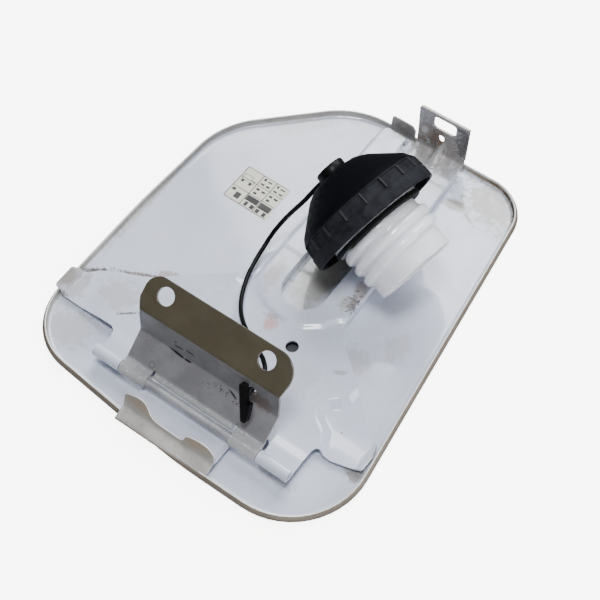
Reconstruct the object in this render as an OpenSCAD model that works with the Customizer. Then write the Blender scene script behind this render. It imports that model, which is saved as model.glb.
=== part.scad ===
// Fuel filler door of a van: outer skin, inner plate with striker, hinge bracket,
// and the filler cap on its tether. It lies on its painted outer face.
// X runs along the hinge, Y from the hinge to the striker, Z up from the outer face.

/* [Door skin] */
// Length of the door along the hinge
door_w = 210; // [206:1:214]
// Length of the door from the hinge edge to the latch edge
door_l = 255.5; // [252:0.5:259]
// Sheet thickness of the skin
skin_t = 0.8; // [0.7:0.05:1.0]
// Height of the rim that stands up round the skin
rim_h = 5.5; // [5:0.1:6.5]
// Outer radius of the fold between the outer face and the rim
rim_r = 3; // [2.4:0.1:3.4]
// How far the right-hand side leans in from the hinge edge to the latch edge
side_lean = 24; // [20:1:28]
// Height of the two tabs on the hinge side, above the outer face
tab_h = 18; // [15:0.5:20]

/* [Inner plate] */
// Height of the plate's raised field above the outer face
field_h = 7.6; // [7.4:0.1:7.9]
// Height of the two arms that run out to the corners
arm_h = 4.2; // [3.8:0.1:4.6]
// Sheet thickness of the plate
sheet_t = 1.2; // [1:0.05:1.3]
// Width of the slot that the filler cap hangs in
slot_w = 27.5; // [26:0.5:28]
// Length of that slot
slot_l = 90; // [86:1:94]
// Diameter of the round hole beside the slot
plate_hole_d = 7.5; // [6:0.5:9]
// Width of the striker
striker_w = 33; // [30:0.5:36]
// Height of the striker's top above the outer face
striker_h = 41; // [38:0.5:44]
// Width of the latch slot in the striker
latch_slot_w = 15.4; // [12:0.2:18]
// Height of the latch slot in the striker
latch_slot_h = 9.6; // [8:0.2:10.4]

/* [Hinge] */
// Sheet thickness of the hinge bracket
bracket_t = 1.4; // [1.2:0.05:1.5]
// Diameter of the hinge pin
pin_d = 5.1; // [4.8:0.1:5.2]
// Radial clearance between the pin and the bracket's curls
hinge_clear = 0.06; // [0.04:0.01:0.1]
// Length of each of the bracket's curls
curl_l = 17.4; // [15:0.2:18]
// Distance between the outer ends of the bracket's curls
bracket_w = 91.6; // [88:0.2:94]
// Diameter of the bracket's two screw holes
screw_d = 10.2; // [9.4:0.1:10.6]
// Distance between those screw holes
screw_pitch = 65.4; // [62:0.2:68]

/* [Filler cap] */
// Diameter of the grip at its open rim
grip_d = 81; // [79:0.5:81.5]
// Height of the grip from the dome's flat top to the open rim
grip_h = 35.5; // [34:0.5:36]
// Wall thickness of the grip
grip_wall = 2.2; // [1.8:0.1:2.4]
// Number of ribs round the grip
rib_count = 18; // [12:1:24]
// Height of the ribs
rib_h = 0.8; // [0.4:0.1:1]
// Diameter of the plug under its thread
plug_d = 48.2; // [47.6:0.1:48.6]
// Length of the plug beyond the grip's rim
plug_l = 34; // [33:0.5:35]
// Height of the plug's thread
thread_h = 2.9; // [2.6:0.1:3.2]
// Distance from one turn of the thread to the next
thread_pitch = 7.6; // [7:0.1:8]
// Outer diameter of the sealing ring
seal_d = 59; // [57:0.5:60]
// Diameter of the tether's eye
eye_d = 17.6; // [16:0.2:19]

/* [Relief valve] */
// Diameter of the pressure relief disc
disc_d = 18; // [16:0.5:19]
// Wire diameter of the pressure spring
spring_wire = 0.9; // [0.7:0.1:1.1]

/* [Tether and label] */
// Diameter of the tether
tether_d = 3; // [2.6:0.1:3.2]
// Width of the printed label
label_w = 30.5; // [28:0.5:34]
// Height of the printed label
label_h = 26; // [24:0.5:28]

/* [Hidden] */
$fn = 96;
gap = 0.3;
eps = 0.02;

// The door's outline: corner points and the radius of each corner, counter-clockwise
left_x = -door_w / 2;
right_x = door_w / 2;
near_y = -door_l / 2;
far_y = door_l / 2;
door_corners = [
    [left_x, near_y + 12.3], [left_x + 120, near_y], [right_x + 4.6, near_y],
    [right_x + 4.6 - side_lean, far_y], [left_x + 67.5, far_y], [left_x + 4, far_y - 61],
    [left_x, far_y - 136]];
corner_r = [38, 300, 46, 28, 55, 55, 500];

function unit(v) = v / norm(v);
function left_of(v) = [-v[1], v[0]];
function before(p, i) = p[(i + len(p) - 1) % len(p)];
function after(p, i) = p[(i + 1) % len(p)];
function dir_in(p, i) = unit(p[i] - before(p, i));
function dir_out(p, i) = unit(after(p, i) - p[i]);
function turn(p, i) = acos(min(1, dir_in(p, i) * dir_out(p, i)));
function tangent_len(p, r, i) = r[i] * tan(turn(p, i) / 2);
function arc_start(p, r, i) = p[i] - dir_in(p, i) * tangent_len(p, r, i);
function arc_end(p, r, i) = p[i] + dir_out(p, i) * tangent_len(p, r, i);
function arc_centre(p, r, i) = arc_start(p, r, i) + left_of(dir_in(p, i)) * r[i];
function heading(v) = atan2(v[1], v[0]);
// Points of the same outline, moved in by a distance
function outline(p, r, inset, steps = 10) = [for (i = [0:len(p) - 1]) for (k = [0:steps])
    let (a = heading(dir_in(p, i)) - 90 + turn(p, i) * k / steps)
    arc_centre(p, r, i) + (r[i] - inset) * [cos(a), sin(a)]];
// A polygon with rounded corners, all turning the same way
function rounded(p, r, steps = 8) = outline(p, [for (q = p) r], 0, steps);

// An open line with rounded bends, moved to its left, and a folded sheet's section along it
function bend_side(p, i) = sign(cross(p[i] - p[i - 1], p[i + 1] - p[i]));
function bend_arc(p, r, i, off) = let (a = unit(p[i] - p[i - 1]), b = unit(p[i + 1] - p[i]), s = bend_side(p, i),
    t = acos(a * b), c = p[i] - a * r * tan(t / 2) + s * left_of(a) * r, h = heading(a))
    [for (k = [0:6]) let (g = h - s * 90 + s * t * k / 6) c + (r - s * off) * [cos(g), sin(g)]];
function open_line(p, r, off) = concat([p[0] + left_of(unit(p[1] - p[0])) * off],
    [for (i = [1:len(p) - 2]) for (q = bend_arc(p, r, i, off)) q],
    [p[len(p) - 1] + left_of(unit(p[len(p) - 1] - p[len(p) - 2])) * off]);
function backwards(p) = [for (i = [len(p) - 1:-1:0]) p[i]];
function folded(p, r, t) = concat(open_line(p, r, 0), backwards(open_line(p, r, -t)));

module along_x(x) {
    translate([x[0], 0, 0]) rotate([90, 0, 90]) linear_extrude(x[1] - x[0]) children();
}

// Section of the skin from the outer face, up the rim and down its inner side: inset and height
skin_section = concat(
    [for (a = [0:15:90]) [rim_r - rim_r * sin(a), rim_r - rim_r * cos(a)]],
    [[0, rim_h], [skin_t, rim_h]],
    [for (a = [90:-15:0]) [rim_r - (rim_r - skin_t) * sin(a), rim_r - (rim_r - skin_t) * cos(a)]]);

// The pan: the section is carried round the outline, and two flat faces close it
module skin_pan() {
    rings = [for (q = skin_section) [for (v = outline(door_corners, corner_r, q[0])) [v[0], v[1], q[1]]]];
    n = len(rings[0]);
    m = len(rings);
    polyhedron([for (g = rings) for (v = g) v], concat(
        [[for (k = [0:n - 1]) k]],
        [for (j = [0:m - 2]) for (k = [0:n - 1]) let (l = (k + 1) % n)
            [j * n + l, j * n + k, (j + 1) * n + k, (j + 1) * n + l]],
        [[for (k = [n - 1:-1:0]) (m - 1) * n + k]]), convexity = 8);
}

// Shoulder and tabs on the hinge side: one folded strip, trimmed to its outline seen from the hinge side
shoulder_x = [-25.5, 34.8];
shoulder_y = near_y + 9.3;
shoulder_z = rim_h + 2;
low_wall = 2;
tab_lean = 20;
tab_outlines = [
    [[shoulder_x[0] - 1, shoulder_z], [-8.5, shoulder_z], [-8.5, tab_h - 4], [-9.6, tab_h - 2], [-12, tab_h - 0.4],
        [-15, tab_h], [-20, tab_h - 0.2], [-23.5, tab_h - 1.4], [shoulder_x[0], tab_h - 3.5], [shoulder_x[0] - 1, tab_h - 4]],
    [[15.5, shoulder_z], [shoulder_x[1] + 1, shoulder_z], [shoulder_x[1] + 1, tab_h - 6], [shoulder_x[1] - 0.4, tab_h - 5.4],
        [33, tab_h - 3.4], [30, tab_h - 2.2], [26, tab_h - 1.8], [20, tab_h - 1.8], [17, tab_h - 2.6], [15.5, tab_h - 4.4]]];

module hinge_side_flange() intersection() {
    along_x(shoulder_x) polygon(folded([[near_y - 2, rim_h - 0.6], [shoulder_y, shoulder_z + skin_t / 2],
        [shoulder_y + tan(tab_lean) * (tab_h + 1 - shoulder_z), tab_h + 1]], 1.4, skin_t));
    union() {
        linear_extrude(shoulder_z + low_wall) polygon(outline(door_corners, corner_r, skin_t / 2));
        for (t = tab_outlines) translate([0, shoulder_y + 20, 0]) rotate([90, 0, 0]) linear_extrude(30) polygon(t);
    }
}

// A taller stretch of rim beside the striker
rim_tab_x = [-13.5, 3.2];
rim_tab_h = 12.6;
module far_rim_tab() {
    translate([0, far_y, 0]) rotate([90, 0, 0]) linear_extrude(skin_t)
        polygon([[rim_tab_x[0], rim_r], [rim_tab_x[1], rim_r], [rim_tab_x[1], rim_tab_h - 4],
            [rim_tab_x[1] - 1.2, rim_tab_h - 1.4], [rim_tab_x[1] - 4, rim_tab_h],
            [rim_tab_x[0] + 2.5, rim_tab_h - 0.4], [rim_tab_x[0], rim_tab_h - 3]]);
}

module outer_skin() color("#b9b4a8") {
    skin_pan();
    hinge_side_flange();
    far_rim_tab();
}

// Hinge
hinge_y = near_y + 25.75;
pin_r = pin_d / 2;
curl_in = pin_r + hinge_clear;
hinge_z = field_h + curl_in;
bracket_x = [-39.7, -39.7 + bracket_w];
plate_curl_x = [[bracket_x[0] - gap - 18, bracket_x[0] - gap], [bracket_x[1] + gap, bracket_x[1] + gap + 20.5]];
bracket_curl_x = [[bracket_x[0], bracket_x[0] + curl_l], [bracket_x[1] - curl_l, bracket_x[1]]];

// A hinge curl: the sheet comes in flat on one side and goes round the pin
module curl(x, from_angle, to_angle, t) {
    translate([x[0], hinge_y, hinge_z]) rotate([90, 0, 90])
        rotate([0, 0, from_angle]) rotate_extrude(angle = to_angle - from_angle)
            translate([curl_in, 0]) square([t, x[1] - x[0]]);
}

module hinge_pin() color("#b8b8b4") {
    translate([plate_curl_x[0][0] + 1.5, hinge_y, hinge_z]) rotate([0, 90, 0])
        cylinder(r = pin_r, h = plate_curl_x[1][1] - plate_curl_x[0][0] - 3);
}

// Inner plate. The field is the raised part; the arms and the foot lie lower.
slot_x = [-1.3, -1.3 + slot_w];
slot_y = -16.8;
latch_x = [-15, 40.5];
bend_y = far_y - 7.4;
striker_y = bend_y + 2;
field_edge = [
    [latch_x[0], bend_y], [latch_x[0], -12], [-27, -20], [-50, -44], [-60, -70], [-58, hinge_y + 12],
    [plate_curl_x[1][1], hinge_y + 12], [plate_curl_x[1][1], -84], [75.5, -78.2], [70, -70], [63, -63],
    [62, -58.5], [65, -53], [70, -49], [72.4, -43.5], [70, -36.2], [58.6, -26.1], [46.9, -16.7],
    [43.4, -11], [42.8, 14.4], [latch_x[1], 85], [latch_x[1] - 1.2, bend_y]];
tongue_x = [-22, 33.9];
tongue_h = hinge_z - curl_in - bracket_t - gap;
under = 3;
right_arm = [[72, -84 + under], [58, -58], [60, -40], [60, -29], [70, -36.2], [right_x - 7.4, -59.3],
    [right_x - 5, -74.8], [91.1, -78.4], [82.7, -80.2], [78.5, -79.7], [75.5, -78.2]];
left_arm = [[-46, -84.3], [left_x + 4.2, -84.3], [left_x + 3, -66], [-93.3, -58.8], [-80.3, -51.8], [-70.3, -48.3],
    [-50, -34], [-27, -15], [-20, -12], [-12, -16]];
left_hem_y = [-84.3, -66];
hole_at = [27.6, -37.3];
striker_x = [7.2, 7.2 + striker_w];
latch_slot_x = striker_x[0] + 17.2;
latch_slot_z = striker_h - 7.4;
small_hole_at = [23.2, striker_h - 19.2];
bead_l = 11;
bead_w = 5;

module sheet(points, top) {
    translate([0, 0, top - sheet_t]) linear_extrude(sheet_t) polygon(points);
}

// The same outline moved in by a distance, with mitred corners
function mitred(p, d) = [for (i = [0:len(p) - 1]) let (n = left_of(dir_in(p, i)), m = unit(n + left_of(dir_out(p, i))))
    p[i] + m * d / (m * n)];

// A wall under a sheet's edge, all the way round
module edge_wall(points, top, bottom) {
    translate([0, 0, bottom]) linear_extrude(top - bottom) difference() {
        polygon(points);
        polygon(mitred(points, sheet_t));
    }
}

module slot_shape() {
    r = slot_w / 2;
    translate([slot_x[0] + r, slot_y + r]) circle(r);
    translate([slot_x[0] + r, slot_y + slot_l - r]) circle(r);
    translate([slot_x[0], slot_y + r]) square([slot_w, slot_l - 2 * r]);
}

module lip_ring() {
    r = slot_w / 2 + sheet_t;
    difference() {
        translate([0, 0, skin_t + gap]) linear_extrude(field_h - skin_t - gap - 0.2) union() {
            translate([slot_x[0] + slot_w / 2, slot_y + slot_w / 2]) circle(r);
            translate([slot_x[0] + slot_w / 2, slot_y + slot_l - slot_w / 2]) circle(r);
            translate([slot_x[0] - sheet_t, slot_y + slot_w / 2]) square([2 * r, slot_l - slot_w]);
        }
        translate([0, 0, -1]) linear_extrude(20) slot_shape();
    }
}

module striker() {
    difference() {
        translate([striker_x[0], striker_y, field_h - sheet_t])
            cube([striker_w, sheet_t, striker_h - field_h + sheet_t]);
        translate([latch_slot_x, 0, latch_slot_z]) rotate([-90, 0, 0]) linear_extrude(far_y + 20)
            polygon(rounded([[-latch_slot_w / 2, -latch_slot_h / 2], [latch_slot_w / 2, -latch_slot_h / 2],
                [latch_slot_w / 2, latch_slot_h / 2], [-latch_slot_w / 2, latch_slot_h / 2]], 2.4));
        translate([small_hole_at[0], 0, small_hole_at[1]]) rotate([-90, 0, 0])
            cylinder(d = 4.4, h = far_y + 20, $fn = 48);
    }
    // side flange and top lip, both turned away from the hinge
    translate([striker_x[1] - sheet_t, striker_y + eps, field_h + 4])
        cube([sheet_t, 4.2, striker_h - field_h - 4 - eps]);
    translate([striker_x[0] + eps, striker_y + eps, striker_h - sheet_t])
        cube([striker_w - 2 * eps, 3.4, sheet_t - eps]);
    // the foot that joins the field, and the bead pressed across the bend
    translate([striker_x[0] + eps, bend_y - 3, field_h - sheet_t])
        cube([striker_w - 2 * eps, striker_y + sheet_t / 2 - bend_y + 3, sheet_t]);
    translate([latch_slot_x - bead_w / 2, striker_y, field_h]) rotate([90, 0, 90]) linear_extrude(bead_w)
        polygon([[sheet_t / 2, -sheet_t / 2], [-bead_l, -sheet_t / 2], [-bead_l, -0.1], [0, bead_l], [sheet_t / 2, bead_l]]);
}

module plate_curl(x) {
    curl(x, -90, -340, sheet_t);
    translate([x[0], hinge_y, field_h - sheet_t]) cube([x[1] - x[0], 16, sheet_t]);
}

// A hem that holds the skin's rim: over its top and down its outer side
module left_hem() {
    y = left_hem_y;
    translate([left_x - gap - hem_t, y[0], arm_h - 1.5]) cube([hem_t, y[1] - y[0], rim_h + gap + hem_t - arm_h + 1.5]);
    translate([left_x - gap - hem_t, y[0], rim_h + gap]) cube([hem_t + gap + skin_t + 4.4, y[1] - y[0], hem_t]);
    translate([left_x + skin_t + 3.4, y[0], arm_h - hem_t]) cube([hem_t, y[1] - y[0], rim_h + gap + 2 * hem_t - arm_h]);
}
hem_t = 0.8;

module inner_plate() color("#c9cbd3") {
    difference() {
        union() {
            sheet(field_edge, field_h);
            sheet(right_arm, arm_h);
            sheet(left_arm, arm_h);
            // step walls round the field, and deeper ones along the latch arm
            edge_wall(field_edge, field_h, arm_h - sheet_t / 2);
            intersection() {
                edge_wall(field_edge, field_h, skin_t + gap);
                translate([latch_x[0] - 20, -8, 0]) cube([90, far_y, 20]);
            }
            translate([latch_x[0] - 4.2, -6.5, skin_t]) cube([5, bend_y + 6, sheet_t]);
            // the tongue that passes under the pin to the tabs
            translate([tongue_x[0], shoulder_y + 2, tongue_h - sheet_t])
                cube([tongue_x[1] - tongue_x[0], hinge_y + 14 - shoulder_y, sheet_t]);
            translate([tongue_x[0], hinge_y + 15, tongue_h - sheet_t / 2])
                cube([tongue_x[1] - tongue_x[0], sheet_t, field_h - tongue_h]);
            lip_ring();
            left_hem();
            for (x = plate_curl_x) plate_curl(x);
            striker();
        }
        translate([0, 0, -1]) linear_extrude(20) slot_shape();
        translate([hole_at[0], hole_at[1], 0]) cylinder(d = plate_hole_d, h = 20);
    }
}

// Printed label
label_at = [-52.4, 38.6];
module pressure_label() color("#e8e8e2") {
    translate([label_at[0], label_at[1], skin_t]) rotate([0, 0, -1]) linear_extrude(0.15)
        polygon(rounded([[-label_w / 2, -label_h / 2], [label_w / 2, -label_h / 2],
            [label_w / 2, label_h / 2], [-label_w / 2, label_h / 2]], 1.5, 4));
}

// Hinge bracket: y and z of its folds on the side that faces away from the door, from the hinge outwards
ledge_z = hinge_z + curl_in + bracket_t;
folds = [[hinge_y + 5, ledge_z], [hinge_y + 18.2, ledge_z + 10.7], [hinge_y + 20.1, ledge_z + 29.8],
    [hinge_y + 37.5, ledge_z + 42.7]];
flange_l = norm(folds[3] - folds[2]);
flange_a = heading(folds[3] - folds[2]);
flange_x = [bracket_x[0] - 2.6, bracket_x[1] + 1.2];
screw_x = bracket_x[0] + 10.8;
screw_up = 13.2;
anchor_at = [35, 10.5];
anchor_hole_d = tether_d + 2.4;
fold_r = 2.4;

// The flange's outline, seen square on
module flange_trim() {
    w = flange_x[1] - flange_x[0];
    l = bracket_x[0] - flange_x[0];
    r = bracket_x[1] - flange_x[0];
    translate([flange_x[0], folds[2][0], folds[2][1]]) rotate([flange_a, 0, 0]) translate([0, 0, -3 * bracket_t])
        linear_extrude(5 * bracket_t) {
            polygon([[l + gap, -8], [r - gap, -8], [r - gap, 0], [w, 8], [w, flange_l - 12], [w - 12, flange_l],
                [9, flange_l], [0, flange_l - 9], [0, 6], [l + gap, 0]]);
            translate([9, flange_l - 9]) circle(9);
            translate([w - 12, flange_l - 12]) circle(12);
        }
}

// Relief notches beside the curls, and the narrower strip between them, are left by this trim
module facet_trim() {
    translate([bracket_x[0], folds[0][0] + 1.5, 0])
        cube([bracket_x[1] - bracket_x[0], folds[2][0] - folds[0][0] + 2, folds[2][1] - 3]);
    for (x = bracket_curl_x) translate([x[0], hinge_y, 0]) cube([x[1] - x[0], 12, ledge_z + 8]);
    translate([bracket_curl_x[0][1] + 2, hinge_y + 2.6, 0])
        cube([bracket_curl_x[1][0] - bracket_curl_x[0][1] - 4, 12, ledge_z + 8]);
}

module hinge_bracket() color("#7d7a72") {
    for (x = bracket_curl_x) curl(x, 90, 345, bracket_t);
    difference() {
        intersection() {
            along_x([flange_x[0] - 1, flange_x[1] + 1])
                polygon(folded([[hinge_y, ledge_z], folds[0], folds[1], folds[2], folds[3] + unit(folds[3] - folds[2])],
                    fold_r, bracket_t));
            union() {
                facet_trim();
                flange_trim();
            }
        }
        translate([anchor_at[0], folds[1][0] - 5, folds[1][1] + anchor_at[1]]) rotate([-90, 0, 0])
            cylinder(d = anchor_hole_d, h = 12, $fn = 48);
        translate([flange_x[0], folds[2][0], folds[2][1]]) rotate([flange_a, 0, 0])
            for (k = [0, 1]) translate([screw_x + k * screw_pitch - flange_x[0], screw_up, -4])
                cylinder(d = screw_d, h = 8);
    }
}

// The cap's own frame: z runs from the dome to the plug's end, with zero at the open rim
cap_tilt = 18.6;
cap_turn = -11.6;
cap_at = [32.3, 37.05, field_h + 34.25];
module at_cap() {
    translate(cap_at) rotate([0, 90 + cap_tilt, cap_turn]) children();
}
grip_r = grip_d / 2;
plug_r = plug_d / 2;
eye_r = eye_d / 2;
dome_top = -grip_h;
dome_wall = 2.4;
stud_r = 2.9;
grip_edge = [[14.5, dome_top], [16.5, dome_top + 0.6], [21.5, dome_top + 3.6], [grip_r - 4.2, dome_top + 16.4],
    [grip_r - 1.7, dome_top + 20], [grip_r - 0.7, dome_top + 24], [grip_r, -5], [grip_r, 0]];
band_top = -7;
function inner_edge(d) = [[grip_r - d, 0], [grip_r - d, -5], [grip_r - 0.7 - d, dome_top + 24.4],
    [grip_r - 1.9 - d, dome_top + 20.8], [grip_r - 4.6 - d, dome_top + 17.4], [20.5, dome_top + dome_wall + 3.4],
    [14, dome_top + dome_wall]];

module cap_grip() color("#1b1c1f") at_cap() {
    difference() {
        rotate_extrude() polygon(concat([[stud_r, dome_top + dome_wall], [stud_r, dome_top]], grip_edge, inner_edge(grip_wall)));
    }
    for (k = [0:rib_count - 1]) rotate([0, 0, (k + 0.5) * 360 / rib_count])
        translate([grip_r - 1.9, -0.7, dome_top + 21]) cube([1.2 + rib_h, 1.4, band_top - dome_top - 21]);
}

// Stack inside the grip, from the dome towards the open rim
ring_z = [-14, -9.5];
teeth_r = 29.4;
teeth = 24;
plug_flange_z = [-8.6, -6];
plug_flange_r = grip_r - grip_wall - 4.5;
retainer_z = [-5.6, -3.8];
seal_z = [-0.4, 2.6];
neck_r = seal_d / 2 - 0.8;

module ratchet_ring() color("#4a4d52") at_cap() {
    outer = grip_r - grip_wall - 1.7;
    translate([0, 0, ring_z[0]]) difference() {
        cylinder(r = outer, h = ring_z[1] - ring_z[0]);
        translate([0, 0, -1]) cylinder(r = outer - 2.2, h = 8);
    }
    for (k = [0:3]) rotate([0, 0, k * 90 + 3]) translate([0, 0, ring_z[0] + 0.6]) linear_extrude(3)
        polygon([[outer - 1.2, 6], [teeth_r + 1.2, 1], [teeth_r - 0.2, 1.6], [teeth_r - 0.1, 2.6], [outer - 1.2, 9]]);
}

module cap_retainer() color("#222326") at_cap() {
    translate([0, 0, retainer_z[0]]) difference() {
        cylinder(r = grip_r - grip_wall - 0.1, h = retainer_z[1] - retainer_z[0]);
        translate([0, 0, -1]) cylinder(r = neck_r + 0.6, h = 5);
    }
}

module cap_seal() color("#191919") at_cap() {
    translate([0, 0, seal_z[0]]) rotate_extrude()
        polygon([[plug_r, 0], [seal_d / 2 - 0.6, 0], [seal_d / 2, 0.7], [seal_d / 2, 2.2],
            [seal_d / 2 - 0.8, seal_z[1] - seal_z[0]], [plug_r, seal_z[1] - seal_z[0]]]);
}

// Plug
plug_wall = 2.6;
web_z = 14;
web_t = 2.4;
port_r = 5;
tube_r = disc_d / 2 + 0.8;
thread_from = 4.6;
thread_start = 200;
thread_turns = 2.36;
thread_w = 3.1;

// A helical ridge, as rings of a few points swept by an angle
function ridge_ring(a, z, grow) = [for (q = [[plug_r - 0.9, -thread_w], [plug_r + thread_h * grow, -0.7],
    [plug_r + thread_h * grow, 0.7], [plug_r - 0.9, thread_w]]) [q[0] * cos(a), q[0] * sin(a), z + q[1]]];
function tube_faces(rings, sides) = concat(
    [[for (k = [sides - 1:-1:0]) k]],
    [for (i = [0:rings - 2]) for (k = [0:sides - 1]) let (n = (k + 1) % sides)
        [i * sides + k, i * sides + n, (i + 1) * sides + n, (i + 1) * sides + k]],
    [[for (k = [0:sides - 1]) (rings - 1) * sides + k]]);

module thread_ridge() {
    steps = round(thread_turns * 30);
    rings = [for (i = [0:steps]) let (a = thread_start + i * 12, grow = min(1, 0.15 + i / 5, 0.15 + (steps - i) / 5))
        ridge_ring(a, thread_from + thread_pitch * a / 360, grow)];
    polyhedron([for (g = rings) for (q = g) q], tube_faces(steps + 1, 4), convexity = 8);
}

module cap_plug() color("#eef0f0") at_cap() {
    rotate_extrude() polygon([
        [plug_r - plug_wall, web_z], [plug_r - plug_wall, ring_z[0]], [teeth_r - 1.6, ring_z[0]],
        [teeth_r - 1.6, plug_flange_z[0]], [plug_flange_r, plug_flange_z[0]], [plug_flange_r, plug_flange_z[1]],
        [neck_r, plug_flange_z[1]], [neck_r, seal_z[0]], [plug_r, seal_z[0]],
        [plug_r, plug_l - 1.2], [plug_r - 1.2, plug_l], [plug_r - plug_wall + 0.6, plug_l],
        [plug_r - plug_wall, plug_l - 0.6], [plug_r - plug_wall, web_z + web_t],
        [port_r, web_z + web_t], [port_r, web_z], [tube_r, web_z], [tube_r, -1], [tube_r + 1.8, -1], [tube_r + 1.8, web_z]]);
    for (k = [0:teeth - 1]) rotate([0, 0, k * 360 / teeth]) translate([0, 0, ring_z[0]])
        linear_extrude(plug_flange_z[0] - ring_z[0])
            polygon([[teeth_r - 2, -2], [teeth_r - 0.6, -1.6], [teeth_r - 1.2, 2], [teeth_r - 2, 2]]);
    thread_ridge();
}

// Relief valve, on the dome's side of the plug's web
disc_t = 1.4;
gasket_t = 1;
seat_z = [0, 2];
disc_z = web_z - gasket_t - disc_t;
poppet_hole_r = 2.6;

module valve_gasket() color("#202020") at_cap() {
    translate([0, 0, web_z - gasket_t]) difference() {
        cylinder(r = disc_d / 2 - 1, h = gasket_t);
        translate([0, 0, -1]) cylinder(r = port_r + 0.6, h = 4);
    }
}

module pressure_disc() color("#b9a262") at_cap() {
    translate([0, 0, disc_z]) difference() {
        cylinder(r = disc_d / 2, h = disc_t);
        translate([0, 0, -1]) cylinder(r = poppet_hole_r, h = 4);
    }
}

module spring_seat() color("#d8d8d4") at_cap() {
    translate([0, 0, seat_z[0]]) difference() {
        cylinder(r = tube_r, h = seat_z[1] - seat_z[0]);
        translate([0, 0, -1]) cylinder(r = 4.4, h = 5);
    }
}

// A coil spring: rings of points along a helix
function helix_ring(r, w, a, z, sides) = [for (k = [0:sides - 1]) let (b = 360 * k / sides)
    [(r + w * cos(b)) * cos(a), (r + w * cos(b)) * sin(a), z + w * sin(b)]];
module coil(r, wire, z, turns, sides = 8) {
    steps = round(turns * 20);
    rise = z[1] - z[0] - wire;
    polyhedron([for (i = [0:steps]) for (q = helix_ring(r, wire / 2, i * 18, z[0] + wire / 2 + rise * i / steps, sides)) q],
        tube_faces(steps + 1, sides), convexity = 8);
}

module pressure_spring() color("#a8a8a4") at_cap() {
    coil(disc_d / 2 - 2, spring_wire, [seat_z[1], disc_z], 4);
}

poppet_r = 1.1;
module vacuum_poppet() color("#8f9296") at_cap() {
    translate([0, 0, disc_z + disc_t]) cylinder(r = port_r - 0.8, h = 1.2);
    translate([0, 0, disc_z - 5.2]) cylinder(r = poppet_r, h = 5.4 + disc_t);
    translate([0, 0, disc_z - 6]) cylinder(r = 3, h = 0.9);
}

module vacuum_spring() color("#a8a8a4") at_cap() {
    coil(2.1, 0.5, [disc_z - 5.1, disc_z], 4);
}

// Tether: eye on the dome, stud through it, cord, and the arrow in the bracket
eye_z = [dome_top - 3.8, dome_top - gap];
module tether_eye() color("#141414") at_cap() {
    rotate_extrude() polygon([[stud_r + 0.1, eye_z[1]], [eye_r, eye_z[1]], [eye_r, eye_z[0] + 1.2], [eye_r - 0.8, eye_z[0] + 0.3],
        [eye_r - 2.5, eye_z[0]], [stud_r + 2.4, eye_z[0]], [stud_r + 2.4, eye_z[0] + 1.2], [stud_r + 0.1, eye_z[0] + 1.2]]);
}

module tether_stud() color("#1a1a1a") at_cap() {
    translate([0, 0, eye_z[0] - 0.4]) cylinder(r = stud_r + 2.1, h = 1.4);
    translate([0, 0, eye_z[0] + 0.8]) cylinder(r = stud_r, h = dome_top + dome_wall + 0.1 - eye_z[0] - 0.8);
    translate([0, 0, dome_top + dome_wall + 0.1]) cylinder(r1 = stud_r + 0.9, r2 = stud_r - 0.6, h = 3);
}

// The tether's route: from the eye down to the skin, along the latch arm, up under the bracket's flange
eye_stretch = [[-37.98, 0.22, 6.88], [-40.3, -4.35, 2.25], [-42.9, -7.55, -3.55], [-45.9, -10.15, -9.45], [-49, -12.75, -15.25]];
flat_stretch = [[-19.5, 21.3, 13.2], [-21.9, 17.7, 7.6], [-23.4, 12.8, 2.7], [-23.6, 6.5, -0.5], [-22.8, -0.5, -1.1],
    [-21.2, -7.3, -0.1], [-19.2, -13.9, 1.6], [-16.7, -20.4, 3], [-13.9, -26.8, 4.2], [-10.5, -32.8, 5.7],
    [-6.5, -38.4, 7.6]];
rise_stretch = [[-37, 40.5, -17.82], [-32, 36.2, -15.22], [-26.7, 32.4, -12.32], [-21.3, 28.9, -9.32], [-15.9, 25.5, -6.32],
    [-10.5, 22.1, -3.32], [-5.3, 18.2, -0.42], [-0.9, 13.1, 1.78], [0.04, 6.5, 1.58]];
tether_route = concat([for (q = eye_stretch) cap_at + q], [for (q = flat_stretch) [q[0], q[1], q[2] + field_h]],
    [for (q = rise_stretch) [anchor_at[0], folds[1][0], folds[1][1] + anchor_at[1]] + q]);
cord_r = tether_d / 2;
cord_sides = 8;

function route_dir(p, i) = unit(p[min(i + 1, len(p) - 1)] - p[max(i - 1, 0)]);
function spline(p, i, u) = let (a = p[max(i - 1, 0)], b = p[i], c = p[i + 1], d = p[min(i + 2, len(p) - 1)])
    0.5 * ((2 * b) + (c - a) * u + (2 * a - 5 * b + 4 * c - d) * u * u + (3 * b - a - 3 * c + d) * u * u * u);
function smooth(p, n) = concat([for (i = [0:len(p) - 2]) for (k = [0:n - 1]) spline(p, i, k / n)], [p[len(p) - 1]]);
function cord_ring(c, d, r) = let (s = unit(cross(d, [0, 0, 1] + 0.001 * [1, 1, 0])), t = cross(s, d))
    [for (k = [0:cord_sides - 1]) let (b = 360 * k / cord_sides) c + r * (cos(b) * s + sin(b) * t)];

module tether_cord() color("#101010") {
    path = smooth(tether_route, 3);
    polyhedron([for (i = [0:len(path) - 1]) for (q = cord_ring(path[i], route_dir(path, i), cord_r)) q],
        tube_faces(len(path), cord_sides), convexity = 8);
}

// The arrow that locks the tether in the bracket: a barbed bar on a short stem
bar_top = [anchor_at[0] - 3.3, folds[1][0] - 1.2, folds[1][1] + anchor_at[1] + 7.6];
bar_end = [anchor_at[0] + 3.3, folds[1][0] - 10.6, folds[1][1] + anchor_at[1] - 13.6];
bar_dir = unit(bar_end - bar_top);
bar_across = unit(cross([0, -1, 0], bar_dir));
bar_out = cross(bar_dir, bar_across);
stem_at = bar_top + bar_dir * 9;
stem_to = [anchor_at[0], folds[1][0] + 6, folds[1][1] + anchor_at[1] + 1.5];
bar_w = 4.2;
bar_t = 3;

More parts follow.
